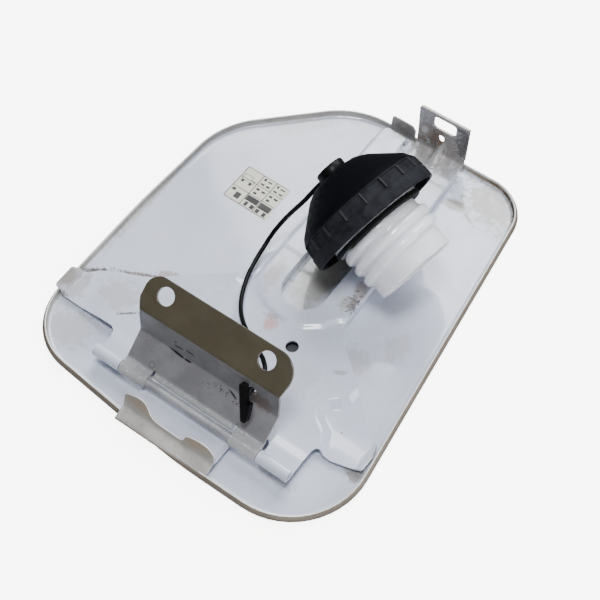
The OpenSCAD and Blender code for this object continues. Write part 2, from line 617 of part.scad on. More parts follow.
module tether_anchor() color("#141414") {
    l = norm(bar_end - bar_top);
    multmatrix([for (k = [0:2]) [bar_across[k], bar_dir[k], bar_out[k], bar_top[k]]])
        translate([0, 0, -bar_t / 2]) linear_extrude(bar_t)
            polygon([[-bar_w / 2, 0.8], [-bar_w / 2 + 0.8, 0], [bar_w / 2 - 0.8, 0], [bar_w / 2, 0.8], [bar_w / 2, 11],
                [bar_w / 2 + 2.6, 11], [bar_w / 2 + 1.8, 15.5], [bar_w / 2 - 0.4, l - 1], [bar_w / 2 - 1.4, l],
                [-bar_w / 2 + 0.6, l], [-bar_w / 2, l - 1]]);
    d = stem_to - stem_at;
    translate(stem_at) rotate([0, acos(d[2] / norm(d)), heading(d)]) cylinder(r = cord_r, h = norm(d), $fn = 32);
}

outer_skin();
inner_plate();
pressure_label();
hinge_pin();
hinge_bracket();
tether_anchor();
tether_cord();
tether_eye();
tether_stud();
cap_grip();
ratchet_ring();
cap_retainer();
cap_plug();
cap_seal();
spring_seat();
pressure_spring();
pressure_disc();
valve_gasket();
vacuum_spring();
vacuum_poppet();
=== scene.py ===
# %% [markdown]
# # A van's fuel door, with its filler cap
# This notebook dresses the measured model of a fuel filler door: a pressed outer skin, a pressed
# inner plate with a striker, a folded hinge bracket, and a screw-in cap on a plastic tether.
# It starts by loading the measured model. Everything below is in metres and in its frame:
# X runs along the hinge, Y from the hinge to the striker, and Z up from the outer face.

# %% Load the measured frame
import math
import bmesh
import bpy
import numpy as np
from mathutils import Matrix, Vector


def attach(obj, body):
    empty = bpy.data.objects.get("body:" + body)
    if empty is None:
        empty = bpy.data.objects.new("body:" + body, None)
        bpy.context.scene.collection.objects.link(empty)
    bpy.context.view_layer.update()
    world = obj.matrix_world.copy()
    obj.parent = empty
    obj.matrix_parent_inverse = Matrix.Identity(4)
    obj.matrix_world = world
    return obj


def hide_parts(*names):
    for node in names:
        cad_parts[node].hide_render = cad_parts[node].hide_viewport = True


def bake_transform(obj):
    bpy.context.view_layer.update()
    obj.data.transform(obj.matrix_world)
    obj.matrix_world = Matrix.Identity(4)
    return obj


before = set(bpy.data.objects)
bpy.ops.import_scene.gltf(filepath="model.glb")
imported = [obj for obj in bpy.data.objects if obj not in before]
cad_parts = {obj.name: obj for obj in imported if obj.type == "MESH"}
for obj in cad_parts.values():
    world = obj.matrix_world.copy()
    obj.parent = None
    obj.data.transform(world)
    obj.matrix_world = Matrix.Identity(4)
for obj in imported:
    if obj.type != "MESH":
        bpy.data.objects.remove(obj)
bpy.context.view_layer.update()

# %% [markdown]
# ## The camera
# The picture was taken from above the hinge side, 59.3 degrees up and turned 35.3 degrees, from
# 0.7 m. A 74 mm lens on a 36 mm sensor gives the same perspective in a square frame.

# %% Camera
CAMERA_AT = (0.21969, -0.30105, 0.60620)
CAMERA_UP, CAMERA_TURN = 59.3, 35.3
bpy.ops.object.select_all(action="DESELECT")
bpy.ops.object.camera_add(location=CAMERA_AT, rotation=(math.radians(90 - CAMERA_UP), 0, math.radians(CAMERA_TURN)))
camera = bpy.context.object
camera.name = "picture_camera"
camera.data.lens, camera.data.sensor_width = 74.1, 36
bpy.context.scene.camera = camera
print("camera looks along", [round(v, 3) for v in camera.matrix_world.to_quaternion() @ Vector((0, 0, -1))])

# %% [markdown]
# ## The tether
# A moulded plastic cord joins the cap to the hinge bracket, so the cap can't be lost. It leaves
# the eye on the cap, drops to the door, lies along it and climbs under the bracket's flange.
# A bezier curve with automatic handles goes through the route's points, as a cord would lie, and
# a round bevel gives it its thickness. It becomes a mesh. The real cord bends when the hinge turns.

# %% Tether along its route
TETHER_D = 0.0027
cap_at = Vector((0.0323, 0.03705, 0.04185))
ROUTE_MM = [(-5.68, 37.27, 48.73), (-8, 32.7, 44.1), (-10.6, 29.5, 38.3), (-13.6, 26.9, 32.4), (-16.7, 24.3, 26.6),
            (-19.5, 21.3, 20.8), (-21.9, 17.7, 15.2), (-23.4, 12.8, 10.3), (-23.6, 6.5, 7.1), (-22.8, -0.5, 6.5),
            (-21.2, -7.3, 7.5), (-19.2, -13.9, 9.2), (-16.7, -20.4, 10.6), (-13.9, -26.8, 11.8), (-10.5, -32.8, 13.3),
            (-6.5, -38.4, 15.2), (-2, -43.3, 17.6), (3, -47.6, 20.2), (8.3, -51.4, 23.1), (13.7, -54.9, 26.1),
            (19.1, -58.3, 29.1), (24.5, -61.7, 32.1), (29.7, -65.6, 35), (34.1, -70.7, 37.2), (35.04, -77.3, 37)]
route = [Vector(p) / 1000 for p in ROUTE_MM]

bpy.ops.object.select_all(action="DESELECT")
bpy.ops.curve.primitive_bezier_curve_add()
tether = bpy.context.object
tether.name = "tether"
spline = tether.data.splines[0]
spline.bezier_points.add(len(route) - 2)
for point, place in zip(spline.bezier_points, route):
    point.co = place
    point.handle_left_type = point.handle_right_type = "AUTO"
tether.data.resolution_u = 6
tether.data.bevel_depth = TETHER_D / 2
tether.data.bevel_resolution = 3
tether.data.use_fill_caps = True
bpy.ops.object.convert(target="MESH")
bpy.ops.object.shade_smooth()


# %% [markdown]
# ## Nodes, colours, and spots of dirt and painted shade
# Each finish below is a small net of shader nodes. One function adds a node with its settings
# and its links. Colours are written as on a colour card, in sRGB, and turned to linear light.
# Dirt has a place on the real door, and so has painted shade, so a spot is a distance from a place, broken up by
# noise.

# %% Colours and nodes
MM = 0.001


def colour(card):
    """linear colour of an sRGB hex value"""
    parts = [int(card[i:i + 2], 16) / 255 for i in (1, 3, 5)]
    return (*[c / 12.92 if c <= 0.04045 else ((c + 0.055) / 1.055) ** 2.4 for c in parts], 1)


def add_node(tree, kind, inputs=None, out=0, **settings):
    """adds one node, sets what it is given, links the inputs that are sockets, and gives back one output"""
    node = tree.nodes.new("ShaderNode" + kind)
    for name, value in settings.items():
        setattr(node, name, value)
    for name, value in (inputs or {}).items():
        if isinstance(value, bpy.types.NodeSocket):
            tree.links.new(value, node.inputs[name])
        else:
            node.inputs[name].default_value = value
    return node.outputs[out]


def new_finish(name, **surface):
    """a material with its surface shader set, its tree and the object's own coordinates"""
    finish = bpy.data.materials.new(name)
    finish.use_nodes = True
    tree = finish.node_tree
    shader = tree.nodes["Principled BSDF"]
    for key, value in surface.items():
        shader.inputs[key.replace("_", " ")].default_value = value
    return finish, tree, shader, add_node(tree, "TexCoord", out="Object")


def patchy(tree, place, size_mm, low, high, to_low=0.0, to_high=1.0, detail=4, roughness=0.6):
    """an uneven value: noise with lumps of size_mm, its range low..high stretched to to_low..to_high"""
    lumps = add_node(tree, "TexNoise", {"Vector": place, "Scale": 1 / (size_mm * MM), "Detail": detail,
                                        "Roughness": roughness})
    return add_node(tree, "MapRange", {0: lumps, 1: low, 2: high, 3: to_low, 4: to_high},
                    interpolation_type="SMOOTHSTEP")


def spot(tree, place, at_mm, size_mm, turn=0.0, ragged=0.35, edge=0.5, lumps_mm=4.0, strength=1.0):
    """mask of a ragged spot: strength inside, nothing a little beyond size_mm; turn is in degrees or a rotation"""
    turn = (0, 0, math.radians(turn)) if isinstance(turn, (int, float)) else turn
    moved = add_node(tree, "Mapping", {"Vector": place, "Location": [v * MM for v in at_mm], "Rotation": turn,
                                       "Scale": [s * MM for s in size_mm]}, vector_type="TEXTURE")
    far = add_node(tree, "VectorMath", {0: moved}, out="Value", operation="LENGTH")
    lumps = add_node(tree, "TexNoise", {"Vector": place, "Scale": 1 / (lumps_mm * MM), "Detail": 5, "Roughness": 0.65})
    far = add_node(tree, "Math", {0: lumps, 1: ragged * 4, 2: far}, operation="MULTIPLY_ADD")
    rim = 1 + 2 * ragged
    return add_node(tree, "MapRange", {0: far, 1: rim, 2: rim - edge, 4: strength}, interpolation_type="SMOOTHSTEP")


def laid_on(tree, under, card, *masks):
    """another colour laid over a finish, where all the masks are one"""
    mask = masks[0]
    for other in masks[1:]:
        mask = add_node(tree, "Math", {0: mask, 1: other}, operation="MULTIPLY")
    under = colour(under) if isinstance(under, str) else under
    return add_node(tree, "MixRGB", {"Fac": mask, "Color1": under, "Color2": colour(card)})


def lay_spots(tree, place, base, spots, edge=0.5, lumps_mm=None):
    """lays spots over a finish, mostly dirt and some painted shade and light; each is (place, size, turn, colour,
    strength, raggedness)
    """
    for at, size, turn, card, strength, ragged in spots:
        lumps = lumps_mm or min(max(0.6 * min(size[:2]), 1.2), 4)
        base = laid_on(tree, base, card, spot(tree, place, at, size, turn, ragged, edge, lumps, strength))
    return base


def finish_off(tree, shader, place, base, rough, bump_mm, strength, deep_mm=0.2):
    """links a finish's colour, its roughness and a fine bump with lumps of bump_mm"""
    tree.links.new(base, shader.inputs["Base Color"])
    tree.links.new(rough, shader.inputs["Roughness"])
    lumps = add_node(tree, "TexNoise", {"Vector": place, "Scale": 1 / (bump_mm * MM), "Detail": 3})
    bumps = add_node(tree, "Bump", {"Height": lumps, "Strength": strength, "Distance": deep_mm * MM})
    tree.links.new(bumps, shader.inputs["Normal"])


print("helpers ready; white card is", [round(c, 3) for c in colour("#c9ccd8")[:3]])

# %% [markdown]
# ## Sheet metal on the inner side
# The inner side of the door carries the body's white top coat, a little blue in this light. It is
# glossy, and twenty years of road dust lie on it: a fine grey bloom everywhere, small specks, and
# darker dirt along the far rim and in the corners. The outer side and the rim are a warm grey
# metallic paint, dulled by wear.

# %% White body paint with road dust
def white_paint(name, spots, specks=0.4, bloom=0.4):
    """glossy white body paint under a bloom of dust, with small specks and spots of dirt and of painted shade"""
    finish, tree, shader, place = new_finish(name, Coat_Weight=0.7, Coat_Roughness=0.05)
    # painted light: the blue in these two cards stands for the cool light on the white paint
    base = laid_on(tree, "#c6cbda", "#bdc3d3", patchy(tree, place, 60, 0.35, 0.65, detail=2))
    dust = patchy(tree, place, 17, 0.5, 0.8, 0, bloom, 6, 0.7)
    base = laid_on(tree, base, "#aeadad", dust)
    base = laid_on(tree, base, "#6f6a64", patchy(tree, place, 1.6, 0.64, 0.73, 0, specks, 3),
                   patchy(tree, place, 24, 0.46, 0.62, detail=3))
    base = lay_spots(tree, place, base, spots)
    finish_off(tree, shader, place, base, patchy(tree, place, 17, 0.45, 0.8, 0.22, 0.5, 6, 0.7), 1.2, 0.05)
    return finish


SKIN_SPOTS = [((49.4, 99.7, 1), (10.5, 5.2, 6), 10, "#85827c", 0.95, 0.22),
              ((60.5, 96, 1), (6, 1.6, 6), -25, "#85807a", 0.85, 0.45),
              ((70, 112, 1), (24, 14, 4), -20, "#938e86", 0.7, 0.6),
              ((66, 108, 1), (20, 12, 4), -20, "#7d7770", 0.5, 1.1),
              ((50, 126.6, 3), (13, 2.6, 5), -7, "#6b5d4a", 0.95, 0.3),
              ((70, 125, 3), (13, 2.6, 5), -14, "#5f4f3a", 1.0, 0.3),
              ((84, 119.5, 3), (9, 3, 5), -42, "#4c3d29", 1.0, 0.3),
              ((91, 108, 3), (3, 9, 5), 10, "#3f3424", 1.0, 0.3),
              ((94.5, 94, 3), (1.8, 9, 5), 6, "#5d4f3c", 0.9, 0.35),
              ((84, 108, 1), (9, 12, 3), 0, "#b0aba5", 0.5, 0.55),
              ((92, 62, 1), (4, 26, 6), 6, "#a29d98", 0.4, 0.5),
              ((84, -62, 1), (10, 7, 6), -40, "#8f897f", 0.5, 0.5),
              ((96, -77, 2), (9, 6, 6), -30, "#736a5e", 0.7, 0.5),
              ((102, -59, 3), (4, 12, 5), -4, "#7d7468", 0.6, 0.5),
              ((-69, -45, 1), (26, 1.5, 3), 24, "#5d4c3f", 0.85, 0.8),
              ((-60, -38, 1), (9, 3, 3), 24, "#8d6c60", 0.6, 0.8),
              ((-97, -60, 2), (11, 2.0, 4), 34, "#3f352c", 0.9, 0.6),
              # painted shade: a near-black spot on the skin under the plate's round hole, for the shade inside the
              # hole
              ((27.6, -37.3, 1), (8, 8, 3), 0, "#2f2d2b", 0.9, 0.1),
              ((-90, -70, 1), (24, 12, 4), 20, "#a19f9d", 0.5, 0.6),
              ((-84, -98, 1), (20, 15, 4), 10, "#a5a4a3", 0.5, 0.6),
              # dust and painted shade: the skin under the long slot is painted grey, for its dust and for the shade of
              # the slot and the cap
              ((12, 20, 1), (17, 44, 3), 0, "#a09f9b", 0.95, 0.3),
              *[((px, py, 1), (0.8, 0.8, 1), 0, "#24201c", 1.0, 0.1)
                for px, py in ((81.9, 112.4), (83.2, 108.8), (85.8, 103.5))],
              ((6, -2, 1), (8, 6, 3), 0, "#8d8a84", 0.5, 0.6),
              ((-60, 96, 2), (24, 8, 6), 40, "#a39c93", 0.35, 0.5),
              ((-100.8, 45.5, 4), (2.4, 5, 4), 0, "#57493c", 0.9, 0.4),
              ((-102, 10, 2), (3.2, 70, 5), 2, "#a0978c", 0.5, 0.5),
              ((-104, -95, 3), (3, 26, 5), -8, "#8d857c", 0.6, 0.5),
              ((60, -22, 1), (13, 9, 4), -40, "#a7a5a3", 0.5, 0.6),
              ((74, -3, 1), (9, 12, 4), 0, "#aaa9a8", 0.45, 0.6),
              ((64, -103, 1), (14, 5, 3), 0, "#a3a1a0", 0.5, 0.6)]
DART_SLOPE = (math.radians(45), 0, 0)
PLATE_SPOTS = [((9.4, -32.5, 7), (5, 5.5, 6), 0, "#b9786c", 0.62, 0.4),
               ((6.8, -28.6, 7), (5, 2.4, 6), 10, "#8d6f62", 0.5, 0.7),
               ((-8, -4, 7), (5, 17, 6), 8, "#ad9c94", 0.55, 0.5),
               ((39.6, 4.5, 7), (4, 8, 6), 10, "#45403b", 0.85, 1.1),
               ((36.5, 2.5, 7), (5, 6, 6), 10, "#9b948e", 0.6, 0.7),
               ((38.5, 14, 7), (5, 7, 6), 0, "#8f8176", 0.6, 0.6),
               # grime and painted shade: these two wide spots darken the whole striker grey-brown, for its dirt and
               # for the shade on its face
               ((24, 134, 28), (60, 16, 60), 0, "#857e76", 1.0, 0.1),
               ((24, 128, 24), (60, 16, 60), 0, "#6f675c", 0.7, 0.5),
               ((14, 124, 22), (9, 9, 14), 0, "#5d4c38", 0.75, 0.4),
               ((21, 124, 20), (5, 9, 16), 0, "#54422c", 0.8, 0.5),
               ((38, 124, 26), (6, 9, 15), 0, "#2f2c2a", 0.8, 0.7),
               ((20.5, 117.6, 12), (0.7, 8, 4.5), DART_SLOPE, "#2d2620", 1.0, 0.2),
               ((26.8, 118, 12), (0.6, 6.5, 4.5), DART_SLOPE, "#4c443b", 0.9, 0.2),
               ((11.5, 124, 22), (3.4, 9, 4.5), 0, "#b0ada7", 0.75, 0.3),
               ((20.6, 124, 16), (1.6, 9, 4.6), 0, "#3b2c18", 0.95, 0.5),
               ((18.6, 124, 24), (2.4, 9, 5), 0, "#54401f", 0.8, 0.6),
               ((39.4, 124, 31), (1.6, 9, 10), 0, "#1d1b19", 0.9, 0.9),
               ((35, 124, 37.5), (4, 9, 2.6), 0, "#2b2826", 0.85, 0.9),
               ((24, 115, 8), (24, 11, 6), 0, "#96928c", 0.75, 0.5),
               ((30, 100, 7), (14, 10, 4), 0, "#a9a9aa", 0.45, 0.6),
               ((-98, -74, 5), (11, 13, 8), 0, "#97928c", 0.6, 0.5),
               ((-72, -66, 4), (18, 14, 6), 0, "#a9a7a5", 0.5, 0.6),
               ((-60, -73.5, 6), (8, 0.9, 5), 40, "#57504a", 0.8, 0.7),
               ((-104, -74, 6), (5.2, 9, 6), 0, "#8d8985", 0.95, 0.12),
               ((-101, -84, 4), (6, 3, 5), 0, "#5d564e", 0.7, 0.6),
               ((58.3, -35.4, 6), (5, 1.6, 5), 30, "#77726d", 0.5, 0.7),
               ((78.6, -63.3, 4), (0.9, 0.9, 2), 0, "#25221f", 1.0, 0.1),
               ((101, -66, 4), (2.4, 9, 5), 0, "#8a8177", 0.6, 0.5),
               ((46, -50, 7), (14, 12, 6), 0, "#b2b3ba", 0.4, 0.6)]
skin_white = white_paint("skin_inner_coat", SKIN_SPOTS)
plate_white = white_paint("plate_inner_coat", PLATE_SPOTS, specks=0.3, bloom=0.3)
print(len(SKIN_SPOTS) + len(PLATE_SPOTS), "spots of dirt on the two sheets")

# %% Warm grey paint of the outer side
def warm_paint(name, card, dull_card, rough, dirt_and_painted_light=()):
    """metallic grey-beige lacquer, dulled and dusty: soft flake, wide highlight, and spots of dirt and painted light
    laid on in places
    """
    finish, tree, shader, place = new_finish(name, Metallic=0.15, Coat_Weight=0.3, Coat_Roughness=0.25)
    base = laid_on(tree, card, dull_card, patchy(tree, place, 26, 0.35, 0.7))
    base = laid_on(tree, base, "#b5ada1", patchy(tree, place, 0.5, 0.6, 0.75, 0, 0.2, 2))
    base = laid_on(tree, base, "#6d6558", patchy(tree, place, 6, 0.54, 0.74, 0, 0.4, 6, 0.7))
    base = lay_spots(tree, place, base, dirt_and_painted_light, lumps_mm=1.6)
    finish_off(tree, shader, place, base, patchy(tree, place, 12, 0.4, 0.7, rough, rough + 0.15), 1.0, 0.04)
    return finish


# the first spot lightens the top of the far rim's inner wall; the second is painted shade, a darker tan on the upper
# part of the hinge-side tabs; the rest are brown dirt along the far rim
RIM_DIRT_AND_PAINTED_LIGHT = [((70, 124, 4.8), (42, 22, 1.3), -30, "#d2d0cb", 0.9, 0.1),
             ((5, -118.5, 14), (40, 8, 6.2), 0, "#a39483", 0.9, 0.05),
             ((50, 126, 2.6), (10, 3, 1.9), -3, "#7d705b", 0.9, 0.5),
             ((62, 124.5, 2.6), (8, 3, 1.9), -15, "#64523a", 0.95, 0.4),
             ((71, 121.5, 2.6), (6.5, 3, 1.9), -32, "#4a3820", 1.0, 0.3),
             ((78, 117, 2.6), (6.5, 3, 1.9), -42, "#3a2c1a", 1.0, 0.3),
             ((83.5, 111.5, 2.6), (6.5, 3, 1.9), -60, "#2f2418", 1.0, 0.3),
             ((87, 103, 2.6), (6.5, 2.6, 1.9), -80, "#3d3226", 0.9, 0.4)]
lacquer = warm_paint("outer_lacquer", "#7f7468", "#6f655a", 0.5)
# worn paint with a painted highlight: the pale lacquer laid on the edges that catch the light
worn_edge_and_highlight_paint = warm_paint("edge_lacquer_worn_and_painted_highlight", "#dcdad6", "#cfccc7", 0.35)
# painted light: a lighter copy of the outer lacquer, for faces on which the light falls
rim_lacquer_with_painted_light = warm_paint("dusty_rim_lacquer_with_painted_light", "#adaaa6", "#918c87", 0.5, RIM_DIRT_AND_PAINTED_LIGHT)
print("lacquer has", len(lacquer.node_tree.nodes), "nodes")

# %% [markdown]
# ## Working with outlines
# Sheet parts are cut from an outline, so the first step of most pieces is a line of points. The
# door's outline has large corner arcs. A ring of points is added as a circle, its points are set
# on the outline, and new rings are extruded from it and set on the same outline moved in or up.

# %% Outlines and rings
def corner_arcs(corners, radii, inset=0.0, steps=14):
    """points of a counter-clockwise outline with round corners, moved in by inset"""
    points = []
    for i, (corner, radius) in enumerate(zip(corners, radii)):
        before, after = Vector(corners[i - 1]), Vector(corners[(i + 1) % len(corners)])
        came, goes = (Vector(corner) - before).normalized(), (after - Vector(corner)).normalized()
        turn = came.angle(goes)
        centre = Vector(corner) - came * radius * math.tan(turn / 2) + Vector((-came.y, came.x)) * radius
        start = math.atan2(came.y, came.x) - math.pi / 2
        for k in range(steps + 1):
            a = start + turn * k / steps
            points.append((centre.x + (radius - inset) * math.cos(a), centre.y + (radius - inset) * math.sin(a)))
    return points


def soft_corners(corners, radius, steps=5):
    """points of any closed outline, its corners rounded where there is room"""
    points = []
    for i, corner in enumerate(corners):
        p, a, b = Vector(corner), Vector(corners[i - 1]), Vector(corners[(i + 1) % len(corners)])
        to_a, to_b = a - p, b - p
        opening = to_a.angle(to_b)
        reach = min(radius / math.tan(opening / 2), 0.45 * to_a.length, 0.45 * to_b.length)
        if opening > math.radians(176) or reach < 0.05:
            points.append(tuple(p))
            continue
        r = reach * math.tan(opening / 2)
        centre = p + (to_a.normalized() + to_b.normalized()).normalized() * r / math.sin(opening / 2)
        first, last = p + to_a.normalized() * reach - centre, p + to_b.normalized() * reach - centre
        sweep = first.angle_signed(last)
        for k in range(steps + 1):
            q = first.copy()
            q.rotate(Matrix.Rotation(-sweep * k / steps, 2))
            points.append(tuple(centre + q))
    return points


DOOR_CORNERS = [(-105, -115.45), (15, -127.75), (109.6, -127.75), (85.6, 127.75), (-38, 127.75), (-101, 66.75),
                (-105, -8.25)]
DOOR_RADII = [38, 300, 46, 28, 55, 55, 500]


def make_active(piece, *others):
    """selects the piece, and any others with it, and makes it the active one"""
    bpy.ops.object.select_all(action="DESELECT")
    for one in (piece, *others):
        one.select_set(True)
    bpy.context.view_layer.objects.active = piece


def edit_mode(piece, on=True):
    """goes into the piece's edit mode, or back out of it"""
    bpy.context.view_layer.objects.active = piece
    bpy.ops.object.mode_set(mode="EDIT" if on else "OBJECT")


def new_ring(name, points, fill="NOTHING"):
    """a closed ring of points in millimetres, added as a circle and set in place; each point keeps its number"""
    bpy.ops.object.select_all(action="DESELECT")
    bpy.ops.mesh.primitive_circle_add(vertices=len(points), radius=1, fill_type=fill)
    piece = bpy.context.object
    piece.name = name
    number = piece.data.attributes.new("ring_number", "INT", "POINT")
    for i, (vertex, point) in enumerate(zip(piece.data.vertices, points)):
        vertex.co = Vector((*point, 0)) * MM
        number.data[i].value = i
    return piece


def extrude_ring(piece, points):
    """extrudes the selected ring of edges and sets its points on another ring, in millimetres"""
    bpy.ops.mesh.extrude_edges_move()
    mesh = bmesh.from_edit_mesh(piece.data)
    number = mesh.verts.layers.int["ring_number"]
    for v in mesh.verts:
        if v.select:
            v.co = Vector(points[v[number]]) * MM
    bmesh.update_edit_mesh(piece.data)


def take_from(piece, others):
    """joins the other objects into piece"""
    make_active(piece, *others)
    bpy.ops.object.join()
    return piece


def apply_modifier(piece, kind, **settings):
    """adds a modifier with its settings and applies it at once"""
    modifier = piece.modifiers.new(kind.lower(), kind)
    for name, value in settings.items():
        setattr(modifier, name, value)
    make_active(piece)
    bpy.ops.object.modifier_apply(modifier=modifier.name)


def shade(piece, degrees=35):
    """smooth shading, but for edges sharper than the angle"""
    make_active(piece)
    bpy.ops.object.shade_smooth_by_angle(angle=math.radians(degrees))


def hand_over(piece, body, slot, *nodes):
    """the finished piece rides on its body and stands for its measured nodes"""
    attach(piece, body)
    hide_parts(*nodes)
    print(piece.name, len(piece.data.polygons), "faces, on", body)


print(len(corner_arcs(DOOR_CORNERS, DOOR_RADII)), "points round the door")

# %% [markdown]
# ## The outer skin
# The skin is one pressing: a flat face with its edge folded up all the way round into a low rim.
# The ring starts on the flat of the outer face, is extruded round the fold, up the rim, over its
# top and down the inner side, and the last ring is filled to make the floor of the pan.

# %% Skin: pan and rim
SKIN_T, RIM_H, RIM_R = 0.8, 5.5, 2.2
section = [(RIM_R * (1 - math.sin(a)), RIM_R * (1 - math.cos(a))) for a in np.radians(np.arange(15, 91, 15))]
section += [(0.22, 3.0), (0.7, 4.0), (1.3, 4.8), (1.62, 5.2), (1.72, 5.42), (1.9, RIM_H), (2.2, RIM_H), (2.4, 5.42),
            (2.5, 5.2), (2.5, 4.4), (2.4, 3.2), (2.5, 2.2), (2.9, 1.4), (3.6, 0.95), (4.6, SKIN_T)]
skin = new_ring("outer_skin_sheet", corner_arcs(DOOR_CORNERS, DOOR_RADII, RIM_R), "NGON")
edit_mode(skin)
bpy.ops.mesh.select_all(action="SELECT")
bpy.ops.mesh.duplicate()
bpy.ops.mesh.delete(type="ONLY_FACE")
bpy.ops.mesh.select_all(action="DESELECT")
bpy.ops.mesh.select_mode(type="EDGE")
loose = bmesh.from_edit_mesh(skin.data)
for e in loose.edges:
    e.select_set(len(e.link_faces) == 0)
for inset, height in section:
    extrude_ring(skin, [(x, y, height) for x, y in corner_arcs(DOOR_CORNERS, DOOR_RADII, inset)])
bpy.ops.mesh.edge_face_add()
bpy.ops.mesh.select_all(action="SELECT")
bpy.ops.mesh.remove_doubles(threshold=1e-6)
bpy.ops.mesh.normals_make_consistent(inside=False)
edit_mode(skin, False)
print("skin pan:", len(skin.data.polygons), "faces")

# %% [markdown]
# On the hinge side the rim widens into a sloping shoulder with two leaning tabs, all one sheet.
# A grid is added, its rows are set along the fold and its columns along the tabs' wavy top edge,
# and Solidify gives it the sheet's thickness. The short tab on the far rim is made the same way.

# %% Skin: shoulder and tabs
TAB_TOP = [(-25.5, 14.0), (-25.1, 15.3), (-23.8, 16.4), (-21, 17.2), (-18, 17.8), (-15.2, 18.2), (-13.6, 18.0),
           (-12.2, 17.3), (-11.0, 16.2), (-9.9, 14.8), (-8.8, 13.2), (-7.7, 11.8), (-6.4, 10.7), (-4.8, 10.0),
           (-2, 9.5), (4, 9.2), (9, 9.1), (11.8, 9.1), (13.2, 9.3), (14.2, 9.9), (14.8, 11.0), (15.2, 12.4),
           (15.9, 13.5), (17.0, 14.3), (19, 14.9), (22, 15.5), (25, 15.9), (27.6, 15.9), (30, 15.4), (32, 14.5),
           (33.6, 13.2), (34.5, 11.6), (34.8, 9.8)]
LEAN = math.radians(20)
rows = [(-127.1, 4.3), (-126.3, 5.0), (-124, 5.75), (-121, 6.45), (-119.7, 6.85), (-119.0, 7.25), (-118.6, 7.8)]
bpy.ops.object.select_all(action="DESELECT")
bpy.ops.mesh.primitive_grid_add(x_subdivisions=len(TAB_TOP) - 1, y_subdivisions=len(rows) + 3, size=1)
tabs = bpy.context.object
tabs.name = "tabs"
columns = len(TAB_TOP)
for i, vertex in enumerate(tabs.data.vertices):
    x, top = TAB_TOP[i % columns]
    row = i // columns
    if row < len(rows):
        y, z = rows[row]
    else:
        z = 7.8 + (top - 7.8) * (row - len(rows) + 1) / 4
        y = -118.6 + (z - 7.8) * math.tan(LEAN)
    vertex.co = Vector((x, y, z)) * MM
apply_modifier(tabs, "SOLIDIFY", thickness=0.8 * MM, offset=1 if tabs.data.polygons[0].normal.z < 0 else -1)

FAR_TAB = soft_corners([(-13.4, 1.0), (4.2, 1.0), (4.2, 11.4), (1.8, 14.6), (-2.9, 15.0), (-12.6, 14.8)], 2.2)
FAR_TAB_Y = 125.2
far_tab = new_ring("far_tab", FAR_TAB, "NGON")
for vertex in far_tab.data.vertices:
    x, z, _ = vertex.co
    vertex.co = Vector((x, FAR_TAB_Y * MM, z))
apply_modifier(far_tab, "SOLIDIFY", thickness=0.8 * MM, offset=1 if far_tab.data.polygons[0].normal.y > 0 else -1)
take_from(skin, [tabs, far_tab])
print("tabs:", len(skin.data.polygons), "faces in the whole skin")

# %% Skin: its finishes
for finish in (skin_white, lacquer, worn_edge_and_highlight_paint, rim_lacquer_with_painted_light):
    skin.data.materials.append(finish)
# painted light: the shoulder, the tabs' fronts, the far tab and the rim's inner wall take the lighter copy of the
# outer lacquer, for the light on them; the rim's top and the tabs' top edges take the pale edge paint, worn and with a
# painted highlight
for face in skin.data.polygons:
    c, n = face.center / MM, face.normal
    outward = n.x * c.x / 105 + n.y * c.y / 127
    outside = n.z < -0.3 or (0 < c.z < 5.1 and outward > 0.3 and n.z < 0.8)
    on_tabs = c.y < -113 and -25.6 < c.x < 34.9 and c.z > 4.8
    tab_front, tab_edge = on_tabs and n.y < -0.1 and n.z < 0.7, on_tabs and c.z > 8.6 and (n.z > 0.7 or abs(n.x) > 0.5)
    shoulder = on_tabs and c.z < 7.4 and n.z > 0.7
    rim_inside = 1.2 < c.z < 5.2 and outward < -0.4 and c.y > -113
    by_far_tab = c.y > 124 and c.z > 1.2 and -14.4 < c.x < 4
    rim_top = 5.0 < c.z < 5.6 and abs(c.x) + abs(c.y) > 100
    face.material_index = (2 if tab_edge else 3 if shoulder or tab_front or by_far_tab or rim_inside else 2 if rim_top
                           else 1 if outside else 0)
shade(skin, 40)
hand_over(skin, "door", "skin_primer", "outer_skin")

# %% [markdown]
# ## Blanks that are cut flat and then folded
# A pressed part starts as a flat blank, and the model does too. The outline and the holes are
# rings of edges that Fill turns into one flat sheet. Bisect cuts it into small faces, so that it
# can bend. Then every point is moved as the press moves it: up a step, round a fold or round a
# hinge curl. Solidify gives the thickness last, so that a fold keeps it all the way round.

# %% Cutting a blank
def cut_blank(name, loops, across, along):
    """a flat sheet with an outline and holes, cut at the given x and y lines, in millimetres"""
    rings = [new_ring(f"{name}_{i}", loop) for i, loop in enumerate(loops)]
    blank = take_from(rings[0], rings[1:])
    blank.name = name
    edit_mode(blank)
    bpy.ops.mesh.select_mode(type="EDGE")
    bpy.ops.mesh.select_all(action="SELECT")
    bpy.ops.mesh.fill(use_beauty=True)
    for axis, lines in ((0, across), (1, along)):
        normal = (1, 0, 0) if axis == 0 else (0, 1, 0)
        for value in lines:
            bpy.ops.mesh.select_all(action="SELECT")
            bpy.ops.mesh.bisect(plane_co=[n * value * MM for n in normal], plane_no=normal, threshold=2e-5)
    bpy.ops.mesh.select_all(action="SELECT")
    bpy.ops.mesh.normals_make_consistent(inside=False)
    edit_mode(blank, False)
    if blank.data.polygons[0].normal.z < 0:
        blank.data.flip_normals()
    return blank


def points_of(piece):
    """the piece's points as an array, in millimetres"""
    flat = np.zeros(len(piece.data.vertices) * 3)
    piece.data.vertices.foreach_get("co", flat)
    return flat.reshape(-1, 3) / MM


def set_points(piece, points):
    """moves the piece's points to those of the array, in millimetres"""
    piece.data.vertices.foreach_set("co", (points * MM).ravel())
    piece.data.update()


def smooth_step(value, low, high):
    """0 below low, 1 above high and a soft rise between"""
    t = np.clip((value - low) / (high - low), 0, 1)
    return t * t * (3 - 2 * t)


